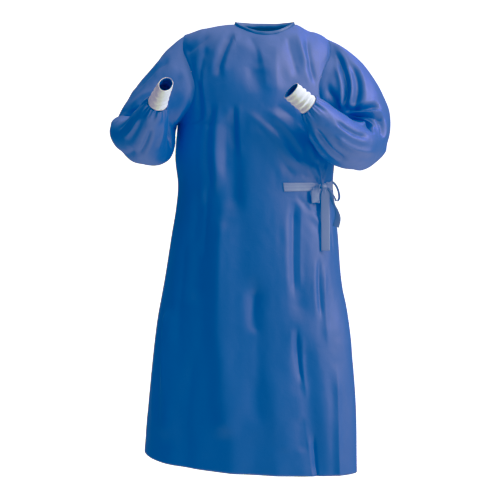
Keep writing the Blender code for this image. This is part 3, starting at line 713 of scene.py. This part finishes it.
def flat_map(points, around):
    """Cut-size coordinates for a grid of points: metres across it and along it."""
    middle_row = points[len(points) // 2]
    if around:
        middle_row = np.vstack([middle_row, middle_row[:1]])
    across = np.concatenate([[0.0], lengths(middle_row, 0)])
    along = np.concatenate([[0.0], lengths(points[:, points.shape[1] // 2], 0)])
    return across, along


def grid_piece(name, points, around, materials, thickness, node, offset=-1.0, inner_slot=0):
    """A cloth shell on a grid of points, its outer face on the points, riding on the part's body."""
    rows, columns = points.shape[:2]
    across, along = flat_map(points, around)
    spans = columns if around else columns - 1
    faces, flat = [], []
    for row in range(rows - 1):
        for column in range(spans):
            corners = ((row, column), (row, column + 1), (row + 1, column + 1), (row + 1, column))
            faces.append([r * columns + c % columns for r, c in corners])
            flat += [(across[c], along[r]) for r, c in corners]
    data = bpy.data.meshes.new(name)
    data.from_pydata([tuple(p) for p in points.reshape(-1, 3)], [], faces)
    layer = data.uv_layers.new(name="cut")
    layer.data.foreach_set("uv", np.array(flat, np.float32).ravel())
    normals = np.array([p.normal for p in data.polygons])
    away = np.array([p.center for p in data.polygons])
    if around:
        away = away - np.repeat(points.mean(axis=1), spans, axis=0)[: len(away)]
    else:
        away = (away - BODY_MIDDLE) * (1, 1, 0)
    if (normals * away).sum() < 0 and not name.startswith("ribbon_"):
        data.flip_normals()
    data.shade_smooth()
    for material in materials:
        data.materials.append(material)
    piece = place_piece(name, data, node)
    shell = piece.modifiers.new("thickness", "SOLIDIFY")
    shell.thickness = thickness
    shell.offset = offset
    shell.use_rim = True
    shell.material_offset = inner_slot
    return piece


def place_piece(name, data, node=None):
    piece = bpy.data.objects.new(name, data)
    bpy.context.scene.collection.objects.link(piece)
    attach(piece, "root")
    if node:
        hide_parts(node)
    return piece


def tube_piece(name, points, material, closed=False, node=None):
    """A solid tube or lump through rings of points, capped at its ends unless they meet."""
    rows, columns = points.shape[:2]
    faces = []
    for row in range(rows if closed else rows - 1):
        for column in range(columns):
            after, beyond = (row + 1) % rows, (column + 1) % columns
            corners = ((row, column), (after, column), (after, beyond), (row, beyond))
            faces.append([r * columns + c for r, c in corners])
    if not closed:
        faces.append(range(columns))
        faces.append(reversed(range((rows - 1) * columns, rows * columns)))
    data = bpy.data.meshes.new(name)
    data.from_pydata([tuple(p) for p in points.reshape(-1, 3)], [], [tuple(face) for face in faces])
    data.shade_smooth()
    data.materials.append(material)
    place_piece(name, data, node)


def panel(side, node, stops_at, counts, out_at, edges, materials):
    levels = fine_levels()
    stops = stops_at(levels)
    share = spread(stops, counts)
    level = np.repeat(levels[:, None], share.shape[1], axis=1)
    reached = np.where(level <= 0, level, level * neck_limit(side, share))
    plain = plain_body(share, reached)
    calm = calm_near_edges(plain, edges)
    points = body_surface(share, reached, side, out_at(share, reached), calm)
    grid_piece("cloth_" + node.removeprefix("body_"), points, False, materials, CLOTH_SHELL, node)
    return points


def make_body(materials):
    def front_stops(level):
        neck = [np.ones_like(level) * share_at_x(x, "front") for x in (-NECK_HALF, NECK_HALF)]
        first = np.where(level <= 0, SIDE_GAP, armhole_share("right", "front", level))
        last = np.where(level <= 0, 0.5 - SIDE_GAP, armhole_share("left", "front", level))
        return first, *neck, last

    def outer_stops(level):
        outer, inner = free_edges(level)
        last = np.where(level <= 0, 1.0 - SIDE_GAP, armhole_share("right", "back", level))
        return outer, inner, last

    def inner_stops(level):
        outer, inner = free_edges(level)
        first = np.where(level <= 0, 0.5 + SIDE_GAP, armhole_share("left", "back", level))
        return first, outer, inner

    def dip(share, level):
        outer = free_edges(level)[0]
        return -LAYER * smooth((share - outer + DIP_SPAN + DIP_LEAD) / DIP_SPAN)

    def flush(share, level):
        return np.zeros_like(share)

    return (
        panel("front", "body_front", front_stops, FRONT_FINE, flush, ("first", "last"), materials),
        panel("back", "back_outer", outer_stops, OUTER_FINE, flush, ("last",), materials),
        panel("back", "back_inner", inner_stops, INNER_FINE, dip, ("first",), materials),
    )


def armhole_loop(arm, columns):
    """Points round the armhole at even turns, from the underarm up the front and down the back."""
    turn = np.arange(columns) / columns * 2
    level = np.interp(1 - np.abs(1 - turn), np.linspace(0, 1, len(CHEST_SHARES)), CHEST_SHARES)
    front = armhole_share(arm, "front", level)
    back = armhole_share(arm, "back", level)
    share = np.where(turn <= 1, front, back)
    share = np.where(level <= 0, 0.0 if arm == "right" else 0.5, share)
    reached = level * TOP_SHARE
    plain = plain_body(share, reached)
    normal = body_normal(share, reached)
    height = np.where(
        turn <= 1,
        fold_height("front", plain[..., 0], plain[..., 2]),
        fold_height("back", plain[..., 0], plain[..., 2]),
    )
    return plain + normal * height[..., None]


def arm_frames(arm, steps):
    loop = armhole_loop(arm, ARMHOLE_POINTS)
    start = loop.mean(axis=0)
    table = [(*start, *SLEEVES[arm][0][3:])] + list(SLEEVES[arm])
    coarse = curve_through(table, SLEEVE_STATIONS + 1)
    stations = curve_through(table, steps + 1)
    ahead, behind = np.vstack([coarse[1:2, :3], coarse[2:, :3]]), np.vstack([coarse[:1, :3], coarse[:-2, :3]])
    coarse_along = units(np.vstack([ahead - behind, coarse[-1:, :3]]))
    coarse_along[-1] = units(np.array(CUFF_MOUTH[arm]) - coarse[-1, :3])
    at = np.linspace(0, 1, steps + 1)
    known = np.linspace(0, 1, SLEEVE_STATIONS + 1)
    along = units(np.stack([np.interp(at, known, coarse_along[:, axis]) for axis in range(3)], -1))
    axis = np.array(ELBOW_AXIS[arm])
    across = units(axis - along * (along @ axis)[:, None])
    deep = np.cross(along, across) * (-1 if arm == "right" else 1)
    return stations, along, across, deep


def ease_shift(arm, rings):
    """How far rings at the solid's stations move when smoothed along the arm where they bunch up."""
    eased = rings.copy()
    row = np.arange(len(rings))[:, None]
    turn = np.arange(rings.shape[1])[None, :] / rings.shape[1] * 360
    for first, last, angle, half_width, rounds in EASED[arm]:
        off = np.minimum(np.abs((turn - angle + 180) % 360 - 180) / half_width, 1)
        near = np.clip(row - first + 1, 0, 1) * np.clip((last + 1 - row) / 2, 0, 1)
        weight = near * (1 + np.cos(math.pi * off)) / 2
        smoothed = eased.copy()
        for _ in range(rounds):
            smoothed[1:-1] = (smoothed[:-2] + 2 * smoothed[1:-1] + smoothed[2:]) / 4
        eased = eased + (smoothed - eased) * weight[..., None]
    return eased - rings


def make_sleeve(arm, materials):
    stations, along, across, deep = arm_frames(arm, ARM_FINE)
    loop = armhole_loop(arm, AROUND_FINE)
    start = units(np.array(ARM_START[arm]))
    turn = np.arange(AROUND_FINE) / AROUND_FINE * 2 * math.pi
    share = np.linspace(0, 1, ARM_FINE + 1)
    steps = np.linalg.norm(np.diff(stations[:, :3], axis=0), axis=1)
    run = np.concatenate([[0], np.cumsum(steps)])
    left_over = run[-1] - run
    wave = GATHER_HEIGHT * smooth(1 - left_over / GATHER_LENGTH)[:, None] * np.cos(GATHERS * turn)[None, :]
    uneven = np.cos(SMALL_GATHERS * turn + 1.3 * np.sin(3 * turn))[None, :]
    small = SMALL_GATHER_HEIGHT * smooth(1 - left_over / SMALL_GATHER_LENGTH)[:, None] * uneven
    keep = (1 - smooth(share * SLEEVE_STATIONS / BLEND_ROWS))[:, None, None]
    plain = (
        stations[:, None, :3]
        - across[:, None] * (stations[:, 3, None] * np.cos(turn))[..., None]
        + deep[:, None] * (stations[:, 4, None] * np.sin(turn))[..., None]
    )
    shift = (stations[:, :3] - stations[0, :3])[:, None]
    near = loop[None] + shift
    plain = plain * (1 - keep) + near * keep
    plain[0] = loop + start * 2 * SEAM
    shifts = ease_shift(arm, plain[:: ARM_FINE // SLEEVE_STATIONS])
    plain = plain + curve_through(shifts.reshape(SLEEVE_STATIONS + 1, -1), ARM_FINE + 1).reshape(plain.shape)
    side = read_rows(SECTIONS, plain[..., 2])
    low = (plain[..., 2] < UNDERARM + SLEEVE_OFF_BODY) & (share[:, None] > 0) & (keep[..., 0] > 0)
    if arm == "right":
        limit = np.minimum(plain[..., 0], side[..., 0] - SLEEVE_OFF_BODY)
    else:
        limit = np.maximum(plain[..., 0], side[..., 1] + SLEEVE_OFF_BODY)
    plain[..., 0] = np.where(low, limit, plain[..., 0])
    outward = units(plain - plain.mean(axis=1, keepdims=True))
    round_metres = 2 * math.pi * SLEEVE_ROUND
    at = np.stack(np.broadcast_arrays(run[:, None], turn[None, :] / (2 * math.pi) * round_metres), -1)
    fine = crumple(plain * 1.15 + 5.0)
    for high, high_angle, low, low_angle, *sizes, lean in SLEEVE_CREASES[arm]:
        bend, height, half_width = (size / 1000 for size in sizes)
        ends = [
            np.array((np.interp(at_share, share, run), angle / 360 * round_metres))
            for at_share, angle in ((high, high_angle), (low, low_angle))
        ]
        shape = (*ends, bend, height * SLEEVE_DEPTH[arm], half_width * SLEEVE_CRISP[arm], lean)
        fine = fine + crease_relief(at, shape, round_metres)
    calm = smooth(run / EDGE_CALM) * (0.25 + 0.75 * smooth(left_over / CUFF_CALM))
    points = plain + outward * (wave + small + fine * calm[:, None])[..., None]
    grid_piece(f"cloth_sleeve_{arm}", points, True, materials, CLOTH_SHELL, f"sleeve_{arm}")
    return points, (stations[-1], across[-1], deep[-1])


def make_cuff(arm, last, materials):
    station, across, deep = last
    mouth = np.array(CUFF_MOUTH[arm])
    base_half = station[3] - CUFF_TUCK
    half_across, half_deep = CUFF_HALF[arm]
    rows, columns = CUFF_FINE
    share = np.linspace(0, 1, rows + 1)
    turn = np.arange(columns) / columns * 2 * math.pi
    start = station[:3] + units(mouth - station[:3]) * SEAM
    spine = start + (mouth - start) * share[:, None]
    rings = np.interp(share, *zip(*CUFF_RINGS))
    rings = np.convolve(np.pad(rings, 2, mode="edge"), np.ones(5) / 5, mode="valid") * RING_HEIGHT
    uneven = 1 + 0.7 * np.cos(turn[None, :] + share[:, None] * 4 + CUFF_TURN[arm])
    relief = rings[:, None] * uneven + RIB_HEIGHT * np.cos(CUFF_RIBS * turn)[None, :]
    wide = (base_half + (half_across - base_half) * share)[:, None] + relief
    tall = (base_half + (half_deep - base_half) * share)[:, None] + relief
    points = (
        spine[:, None]
        - across * (wide * np.cos(turn))[..., None]
        + deep * (tall * np.sin(turn))[..., None]
    )
    # the inner faces take the second material, a dark blue painted shade inside the white knit
    grid_piece(f"knit_cuff_{arm}", points, True, materials, KNIT_SHELL, f"cuff_{arm}", inner_slot=1)


def make_binding(body, material):
    """A folded band that wraps the neck's edges, from one free edge of the back round to the other."""
    front, outer, inner = body
    first, last = FRONT_FINE[0], FRONT_FINE[0] + FRONT_FINE[1]
    middle = np.array((0.0, RIDGE_Y, 0.0))
    flat = np.array((1.0, 1.0, 0.0))
    under = inner[-1][INNER_FINE[0] :][::-1]
    under = under + units((middle - under) * flat) * BINDING_IN
    across = front[-1][first : last + 1][::-1]
    across = across[np.linalg.norm(across - under[-1], axis=1) > BINDING_CLEAR]
    over = outer[-1][: OUTER_FINE[0] + 1][::-1]
    over = over[np.linalg.norm(over - over[-1], axis=1) > BINDING_CLEAR]
    path = np.concatenate([under, across, over])
    kept = [path[0]]
    for point in path[1:]:
        if np.linalg.norm(point - kept[-1]) > BINDING_SPACING:
            kept.append(point)
    path = np.array(kept)
    for _ in range(2):
        path[1:-1] = (path[:-2] + 2 * path[1:-1] + path[2:]) / 4
    inward = units((middle - path) * flat)
    rise = np.array((0.0, 0.0, 1.0))
    step = np.arange(len(path))
    ripple = 0.00045 * np.sin(step * 0.55) + 0.0003 * np.sin(step * 0.21 + 1.0)
    rows = [path + inward * (a + ripple[:, None] * (b > 0)) + rise * b for a, b in BINDING_PROFILE]
    points = np.array(rows)
    grid_piece("binding_neck", points, False, [material], 0.0005, "neck_binding", offset=1.0)


def knot_place():
    share = float(share_at_x(KNOT_X, "front", KNOT_Z))
    level = KNOT_Z - UNDERARM
    point = plain_body(np.array(share), np.array(level))
    height = fold_height("front", point[..., 0], point[..., 2]) + KNOT_OUT
    return share, level, point + body_normal(share, level) * height


def make_straps(materials):
    share, level, _ = knot_place()
    start = float(share_at_x(STRAP_START_X, "front", KNOT_Z))
    flap_edge, inner_edge = (float(edge) for edge in free_edges(np.array(level)))
    flap_end = flap_edge + (inner_edge - flap_edge) / 11
    for name, node, low, high, knot_end in (
        ("strap_front", "belt_front", start, share - STRAP_PAST_KNOT, "high"),
        ("strap_side", "belt_side", share + STRAP_PAST_KNOT, flap_end, "low"),
    ):
        columns = max(int((high - low) * GIRTH / STRAP_COLUMN), 12)
        along = np.linspace(low, high, columns + 1)
        across = np.linspace(-0.5, 0.5, RIBBON_ACROSS)
        from_knot = np.abs((high if knot_end == "high" else low) - along) * GIRTH
        waist, length = STRAP_WAIST
        narrow = waist + (1 - waist) * smooth(from_knot / length)
        heights = level + BELT_WIDTH * across[:, None] * narrow[None, :]
        shares = np.repeat(along[None, :], len(across), axis=0)
        pleat, rise = (
            height * (1 - smooth(from_knot / reach))[None, :] for height, reach in (STRAP_PLEAT, STRAP_RISE)
        )
        pleat = pleat * np.cos(across * 15)[:, None]
        edge = 0.0003 * np.cos(np.clip(np.abs(across) * 2, 0, 1) * 9)[:, None]
        out = STRAP_OUT + STRAP + pleat + rise + edge
        front = body_surface(shares, heights, "front", out)
        back = body_surface(shares, heights, "back", out)
        points = np.where((shares < 0.5)[..., None], front, back)
        piece = grid_piece(name, points, False, materials, 0.0010, node)
        length = round(float(high - low) * GIRTH, 2)


def make_knot(material):
    _, _, middle = knot_place()
    rows, columns = KNOT_FINE
    polar = np.linspace(0.02, math.pi - 0.02, rows)[:, None]
    turn = np.arange(columns)[None, :] / columns * 2 * math.pi
    swell = 1 + 0.07 * np.cos(4 * polar + 2 * turn) + 0.05 * np.sin(7 * polar - turn)
    squared = (np.abs(np.cos(turn)) ** 3 + np.abs(np.sin(turn)) ** 3) ** (-1 / 3)
    half = np.array(KNOT_SIZE) / 2
    x = half[0] * np.sin(polar) ** 0.8 * np.cos(turn) * squared * swell
    y = half[1] * np.sin(polar) ** 0.8 * np.sin(turn) * squared * swell
    z = half[2] * np.cos(polar) * np.ones_like(turn) * (1 + 0.04 * np.cos(3 * turn))
    angle = math.radians(KNOT_TURN)
    turned = (x * math.cos(angle) - y * math.sin(angle), x * math.sin(angle) + y * math.cos(angle), z)
    points = np.stack(turned, -1) + middle
    tube_piece("knot_bow", points, material, node="bow_knot")


def make_ribbon(name, materials):
    _, _, middle = knot_place()
    rows = curve_through(RIBBONS[name], RIBBON_STEPS)
    share = np.linspace(0, 1, RIBBON_STEPS)
    looped = name.startswith("bow_loop")
    from_knot = np.minimum(share, 1 - share) if looped else share
    wide = RIBBON_WIDTH[name] * (RIBBON_NARROW + (1 - RIBBON_NARROW) * smooth(from_knot / RIBBON_TAPER))
    along = units(np.gradient(rows[:, :3], axis=0))
    width = units(rows[:, 3:] - along * (rows[:, 3:] * along).sum(1, keepdims=True))
    out = np.cross(along, width)
    across = np.linspace(-0.5, 0.5, RIBBON_ACROSS)
    height, reach = RIBBON_PLEAT
    pleat = height * (1 - smooth(from_knot / reach))[:, None] * np.cos(across * 14)[None, :]
    cup = RIBBON_CUP["loop" if looped else "tail"] * (1 - (2 * across) ** 2)[None, :]
    points = (
        middle
        + rows[:, None, :3]
        + width[:, None] * (wide[:, None] * across[None, :])[..., None]
        + out[:, None] * (pleat + cup)[..., None]
    )
    piece = grid_piece("ribbon_" + name, points, False, materials, 0.0009, name, offset=0.0)


def seam_tube(name, path, material, closed=False):
    """A stitched seam: a thin cord of thread whose thickness swells at each stitch."""
    if closed:
        path = np.vstack([path, path[:1]])
    run = np.concatenate([[0.0], lengths(path, 0)])
    count = max(int(run[-1] / (SEAM_PITCH / 4)), 8)
    at = np.linspace(0, run[-1], count, endpoint=not closed)
    line = np.stack([np.interp(at, run, path[:, axis]) for axis in range(3)], -1)
    along = units(np.gradient(line, axis=0))
    first = units(np.cross(along, np.array((0.31, 0.87, 0.38))))
    second = np.cross(along, first)
    turn = np.arange(SEAM_SIDES) / SEAM_SIDES * 2 * math.pi
    swell = SEAM_RADIUS * (0.80 + 0.30 * np.abs(np.sin(at / SEAM_PITCH * math.pi)))
    ring = first[:, None] * np.cos(turn)[None, :, None] + second[:, None] * np.sin(turn)[None, :, None]
    points = line[:, None] + ring * swell[:, None, None]
    tube_piece(name, points, material, closed=closed)


def make_seams(body, sleeves, material):
    front, outer, inner = body
    below = SKIRT_FINE + 1
    seam_tube("seam_side_right", (front[:below, 0] + outer[:below, -1]) / 2, material)
    seam_tube("seam_side_left", (front[:below, -1] + inner[:below, 0]) / 2, material)
    for arm, points in sleeves.items():
        seam_tube(f"seam_armhole_{arm}", points[0], material, closed=True)


def nodes_for(name, roughness):
    material = bpy.data.materials.new(name)
    material.use_nodes = True
    tree = material.node_tree
    shader = tree.nodes["Principled BSDF"]
    shader.inputs["Roughness"].default_value = roughness
    return material, tree, shader


def add_node(tree, kind, **values):
    node = tree.nodes.new(kind)
    for name, value in values.items():
        if name in node.inputs:
            node.inputs[name].default_value = value
        else:
            setattr(node, name, value)
    return node


def combine(tree, *values):
    """The first two values multiplied, plus the third where there is one."""
    node = add_node(tree, "ShaderNodeMath", operation="MULTIPLY_ADD" if len(values) == 3 else "MULTIPLY")
    for socket, value in zip(node.inputs, values):
        if isinstance(value, float):
            socket.default_value = value
        else:
            tree.links.new(value, socket)
    return node.outputs[0]


def mix_colours(tree, factor, first, second):
    node = tree.nodes.new("ShaderNodeMix")
    node.data_type = "RGBA"
    tree.links.new(factor, node.inputs["Factor"])
    node.inputs["A"].default_value = first
    node.inputs["B"].default_value = second
    return node.outputs["Result"]


def cloth_material(name, colour, dark, pattern=0.5):
    """Bonded nonwoven: mottled fibres, a fine lattice of bonding points and soft paper-like crumples."""
    material, tree, shader = nodes_for(name, 0.55)
    link = tree.links.new
    place = tree.nodes.new("ShaderNodeTexCoord")
    cut = add_node(tree, "ShaderNodeUVMap", uv_map="cut")
    cloud = add_node(tree, "ShaderNodeTexNoise", Scale=9.0, Detail=3.0)
    fibres = add_node(tree, "ShaderNodeTexNoise", Scale=900.0, Detail=4.0, Roughness=0.7)
    link(place.outputs["Object"], cloud.inputs["Vector"])
    link(place.outputs["Object"], fibres.inputs["Vector"])
    blend = combine(tree, fibres.outputs["Fac"], 0.5, cloud.outputs["Fac"])
    ramp = tree.nodes.new("ShaderNodeMapRange")
    ramp.inputs["From Min"].default_value = 0.5
    ramp.inputs["From Max"].default_value = 1.0
    link(blend, ramp.inputs["Value"])
    link(mix_colours(tree, ramp.outputs["Result"], dark, colour), shader.inputs["Base Color"])
    dots = add_node(tree, "ShaderNodeTexVoronoi", Scale=620.0, Randomness=0.0)
    link(cut.outputs["UV"], dots.inputs["Vector"])
    paper = add_node(tree, "ShaderNodeTexNoise", Scale=55.0, Detail=5.0, Roughness=0.6, Distortion=0.8)
    link(place.outputs["Object"], paper.inputs["Vector"])
    bumps = None
    for source, strength, distance in (
        (paper.outputs["Fac"], 0.30, 0.0016),
        (fibres.outputs["Fac"], 0.25, 0.00020),
        (dots.outputs["Distance"], pattern, 0.00012),
    ):
        bump = add_node(tree, "ShaderNodeBump", Strength=strength, Distance=distance)
        link(source, bump.inputs["Height"])
        if bumps:
            link(bumps.outputs["Normal"], bump.inputs["Normal"])
        bumps = bump
    link(bumps.outputs["Normal"], shader.inputs["Normal"])
    shader.inputs["Sheen Weight"].default_value = 0.05
    shader.inputs["Sheen Roughness"].default_value = 0.45
    shader.inputs["Sheen Tint"].default_value = (0.85, 0.92, 1.0, 1.0)
    shader.inputs["Specular IOR Level"].default_value = 1.0
    shader.inputs["IOR"].default_value = 1.65
    return material


def knit_material(name, colour, dark):
    """Rib knit: stitches along each rib, darker and bluer in their grooves as painted shade, with a soft
    fuzz.
    """
    material, tree, shader = nodes_for(name, 0.85)
    link = tree.links.new
    place = tree.nodes.new("ShaderNodeTexCoord")
    cut = add_node(tree, "ShaderNodeUVMap", uv_map="cut")
    stitches = add_node(tree, "ShaderNodeTexWave", Scale=150.0, Distortion=1.5, Detail=1.0)
    stitches.bands_direction = "Y"
    link(cut.outputs["UV"], stitches.inputs["Vector"])
    fuzz = add_node(tree, "ShaderNodeTexNoise", Scale=1400.0, Detail=3.0)
    link(place.outputs["Object"], fuzz.inputs["Vector"])
    # painted shade: the darker colour falls where the stitches' bump is low
    link(mix_colours(tree, stitches.outputs["Fac"], dark, colour), shader.inputs["Base Color"])
    first = add_node(tree, "ShaderNodeBump", Strength=0.4, Distance=0.0004)
    link(stitches.outputs["Fac"], first.inputs["Height"])
    second = add_node(tree, "ShaderNodeBump", Strength=0.3, Distance=0.0002)
    link(fuzz.outputs["Fac"], second.inputs["Height"])
    link(first.outputs["Normal"], second.inputs["Normal"])
    link(second.outputs["Normal"], shader.inputs["Normal"])
    shader.inputs["Sheen Weight"].default_value = 0.4
    shader.inputs["Sheen Roughness"].default_value = 0.5
    return material


def make_camera():
    data = bpy.data.cameras.new("camera")
    data.lens = CAMERA_LENS
    camera = bpy.data.objects.new("camera", data)
    camera.location = CAMERA_PLACE
    camera.rotation_euler = (math.radians(90 - CAMERA_DOWN), 0, 0)
    bpy.context.scene.collection.objects.link(camera)
    bpy.context.scene.camera = camera


def area_light(name, place, aim, size, power):
    data = bpy.data.lights.new(name, "AREA")
    data.shape = "RECTANGLE"
    data.size, data.size_y = size
    data.energy = power
    lamp = bpy.data.objects.new(name, data)
    lamp.location = place
    lamp.rotation_euler = (Vector(aim) - Vector(place)).to_track_quat("-Z", "Y").to_euler()
    bpy.context.scene.collection.objects.link(lamp)


def stage_piece(name, mesh, glow):
    """Part of the pale studio, seen by the camera without adding light of its own to the cloth."""
    material, _, shader = nodes_for(name, 0.9)
    shader.inputs["Base Color"].default_value = (0.5, 0.5, 0.5, 1.0)
    shader.inputs["Emission Color"].default_value = (1.0, 1.0, 1.0, 1.0)
    shader.inputs["Emission Strength"].default_value = glow
    mesh.materials.append(material)
    piece = bpy.data.objects.new(name, mesh)
    bpy.context.scene.collection.objects.link(piece)
    piece.visible_diffuse = False
    piece.visible_glossy = False
    piece.visible_shadow = False


def make_stage():
    world = bpy.data.worlds.new("studio")
    bpy.context.scene.world = world
    world.use_nodes = True
    tree = world.node_tree
    background = tree.nodes["Background"]
    background.inputs["Color"].default_value = (0.97, 0.985, 1.0, 1.0)
    direction = tree.nodes.new("ShaderNodeTexCoord")
    parts = tree.nodes.new("ShaderNodeSeparateXYZ")
    tree.links.new(direction.outputs["Generated"], parts.inputs[0])
    steep = combine(tree, parts.outputs["Z"], parts.outputs["Z"])
    sky = combine(tree, steep, SKY_OVERHEAD - SKY_HORIZON, SKY_HORIZON)
    side = combine(tree, parts.outputs["X"], SKY_LEAN, 1.0)
    tree.links.new(combine(tree, sky, side), background.inputs["Strength"])
    for light in LIGHTS:
        area_light(*light)
    floor = bpy.data.meshes.new("floor")
    corners = [(x * FLOOR_HALF, y * FLOOR_HALF, FLOOR_Z) for x, y in ((-1, -1), (1, -1), (1, 1), (-1, 1))]
    floor.from_pydata(corners, [], [(0, 1, 2, 3)])
    stage_piece("floor", floor, 0.85)
    dome = bpy.data.meshes.new("backdrop")
    sphere = bmesh.new()
    bmesh.ops.create_uvsphere(sphere, u_segments=48, v_segments=24, radius=DOME_RADIUS)
    bmesh.ops.reverse_faces(sphere, faces=sphere.faces)
    sphere.to_mesh(dome)
    sphere.free()
    dome.shade_smooth()
    stage_piece("backdrop", dome, 1.0)
    view = bpy.context.scene.view_settings
    view.view_transform = "Standard"
    view.use_curve_mapping = True
    for channel, points in enumerate((RED_CURVE, GREEN_CURVE, BLUE_CURVE)):
        for light, shown in points:
            view.curve_mapping.curves[channel].points.new(light, shown)
    view.curve_mapping.update()


def main():
    make_camera()
    make_stage()
    cloth, inside = (cloth_material(name, *COLOURS["cloth"]) for name in ("cloth", "cloth_inside"))
    binding = cloth_material("binding", *COLOURS["binding"])
    belt = cloth_material("belt", *COLOURS["belt"], pattern=0.3)
    knit = knit_material("knit", *COLOURS["knit"])
    # painted shade for the inside of the white knit cuffs
    painted_shade_inside = cloth_material("cuff_inside_painted_shade", *COLOURS["cuff_inside_painted_shade"])
    body = make_body([cloth, inside])
    sleeves = {}
    for arm in ("right", "left"):
        sleeves[arm], last = make_sleeve(arm, [cloth, inside])
        make_cuff(arm, last, [knit, painted_shade_inside])
    make_binding(body, binding)
    make_straps([belt])
    make_knot(belt)
    for name in RIBBONS:
        make_ribbon(name, [belt])
    make_seams(body, sleeves, cloth)


main()
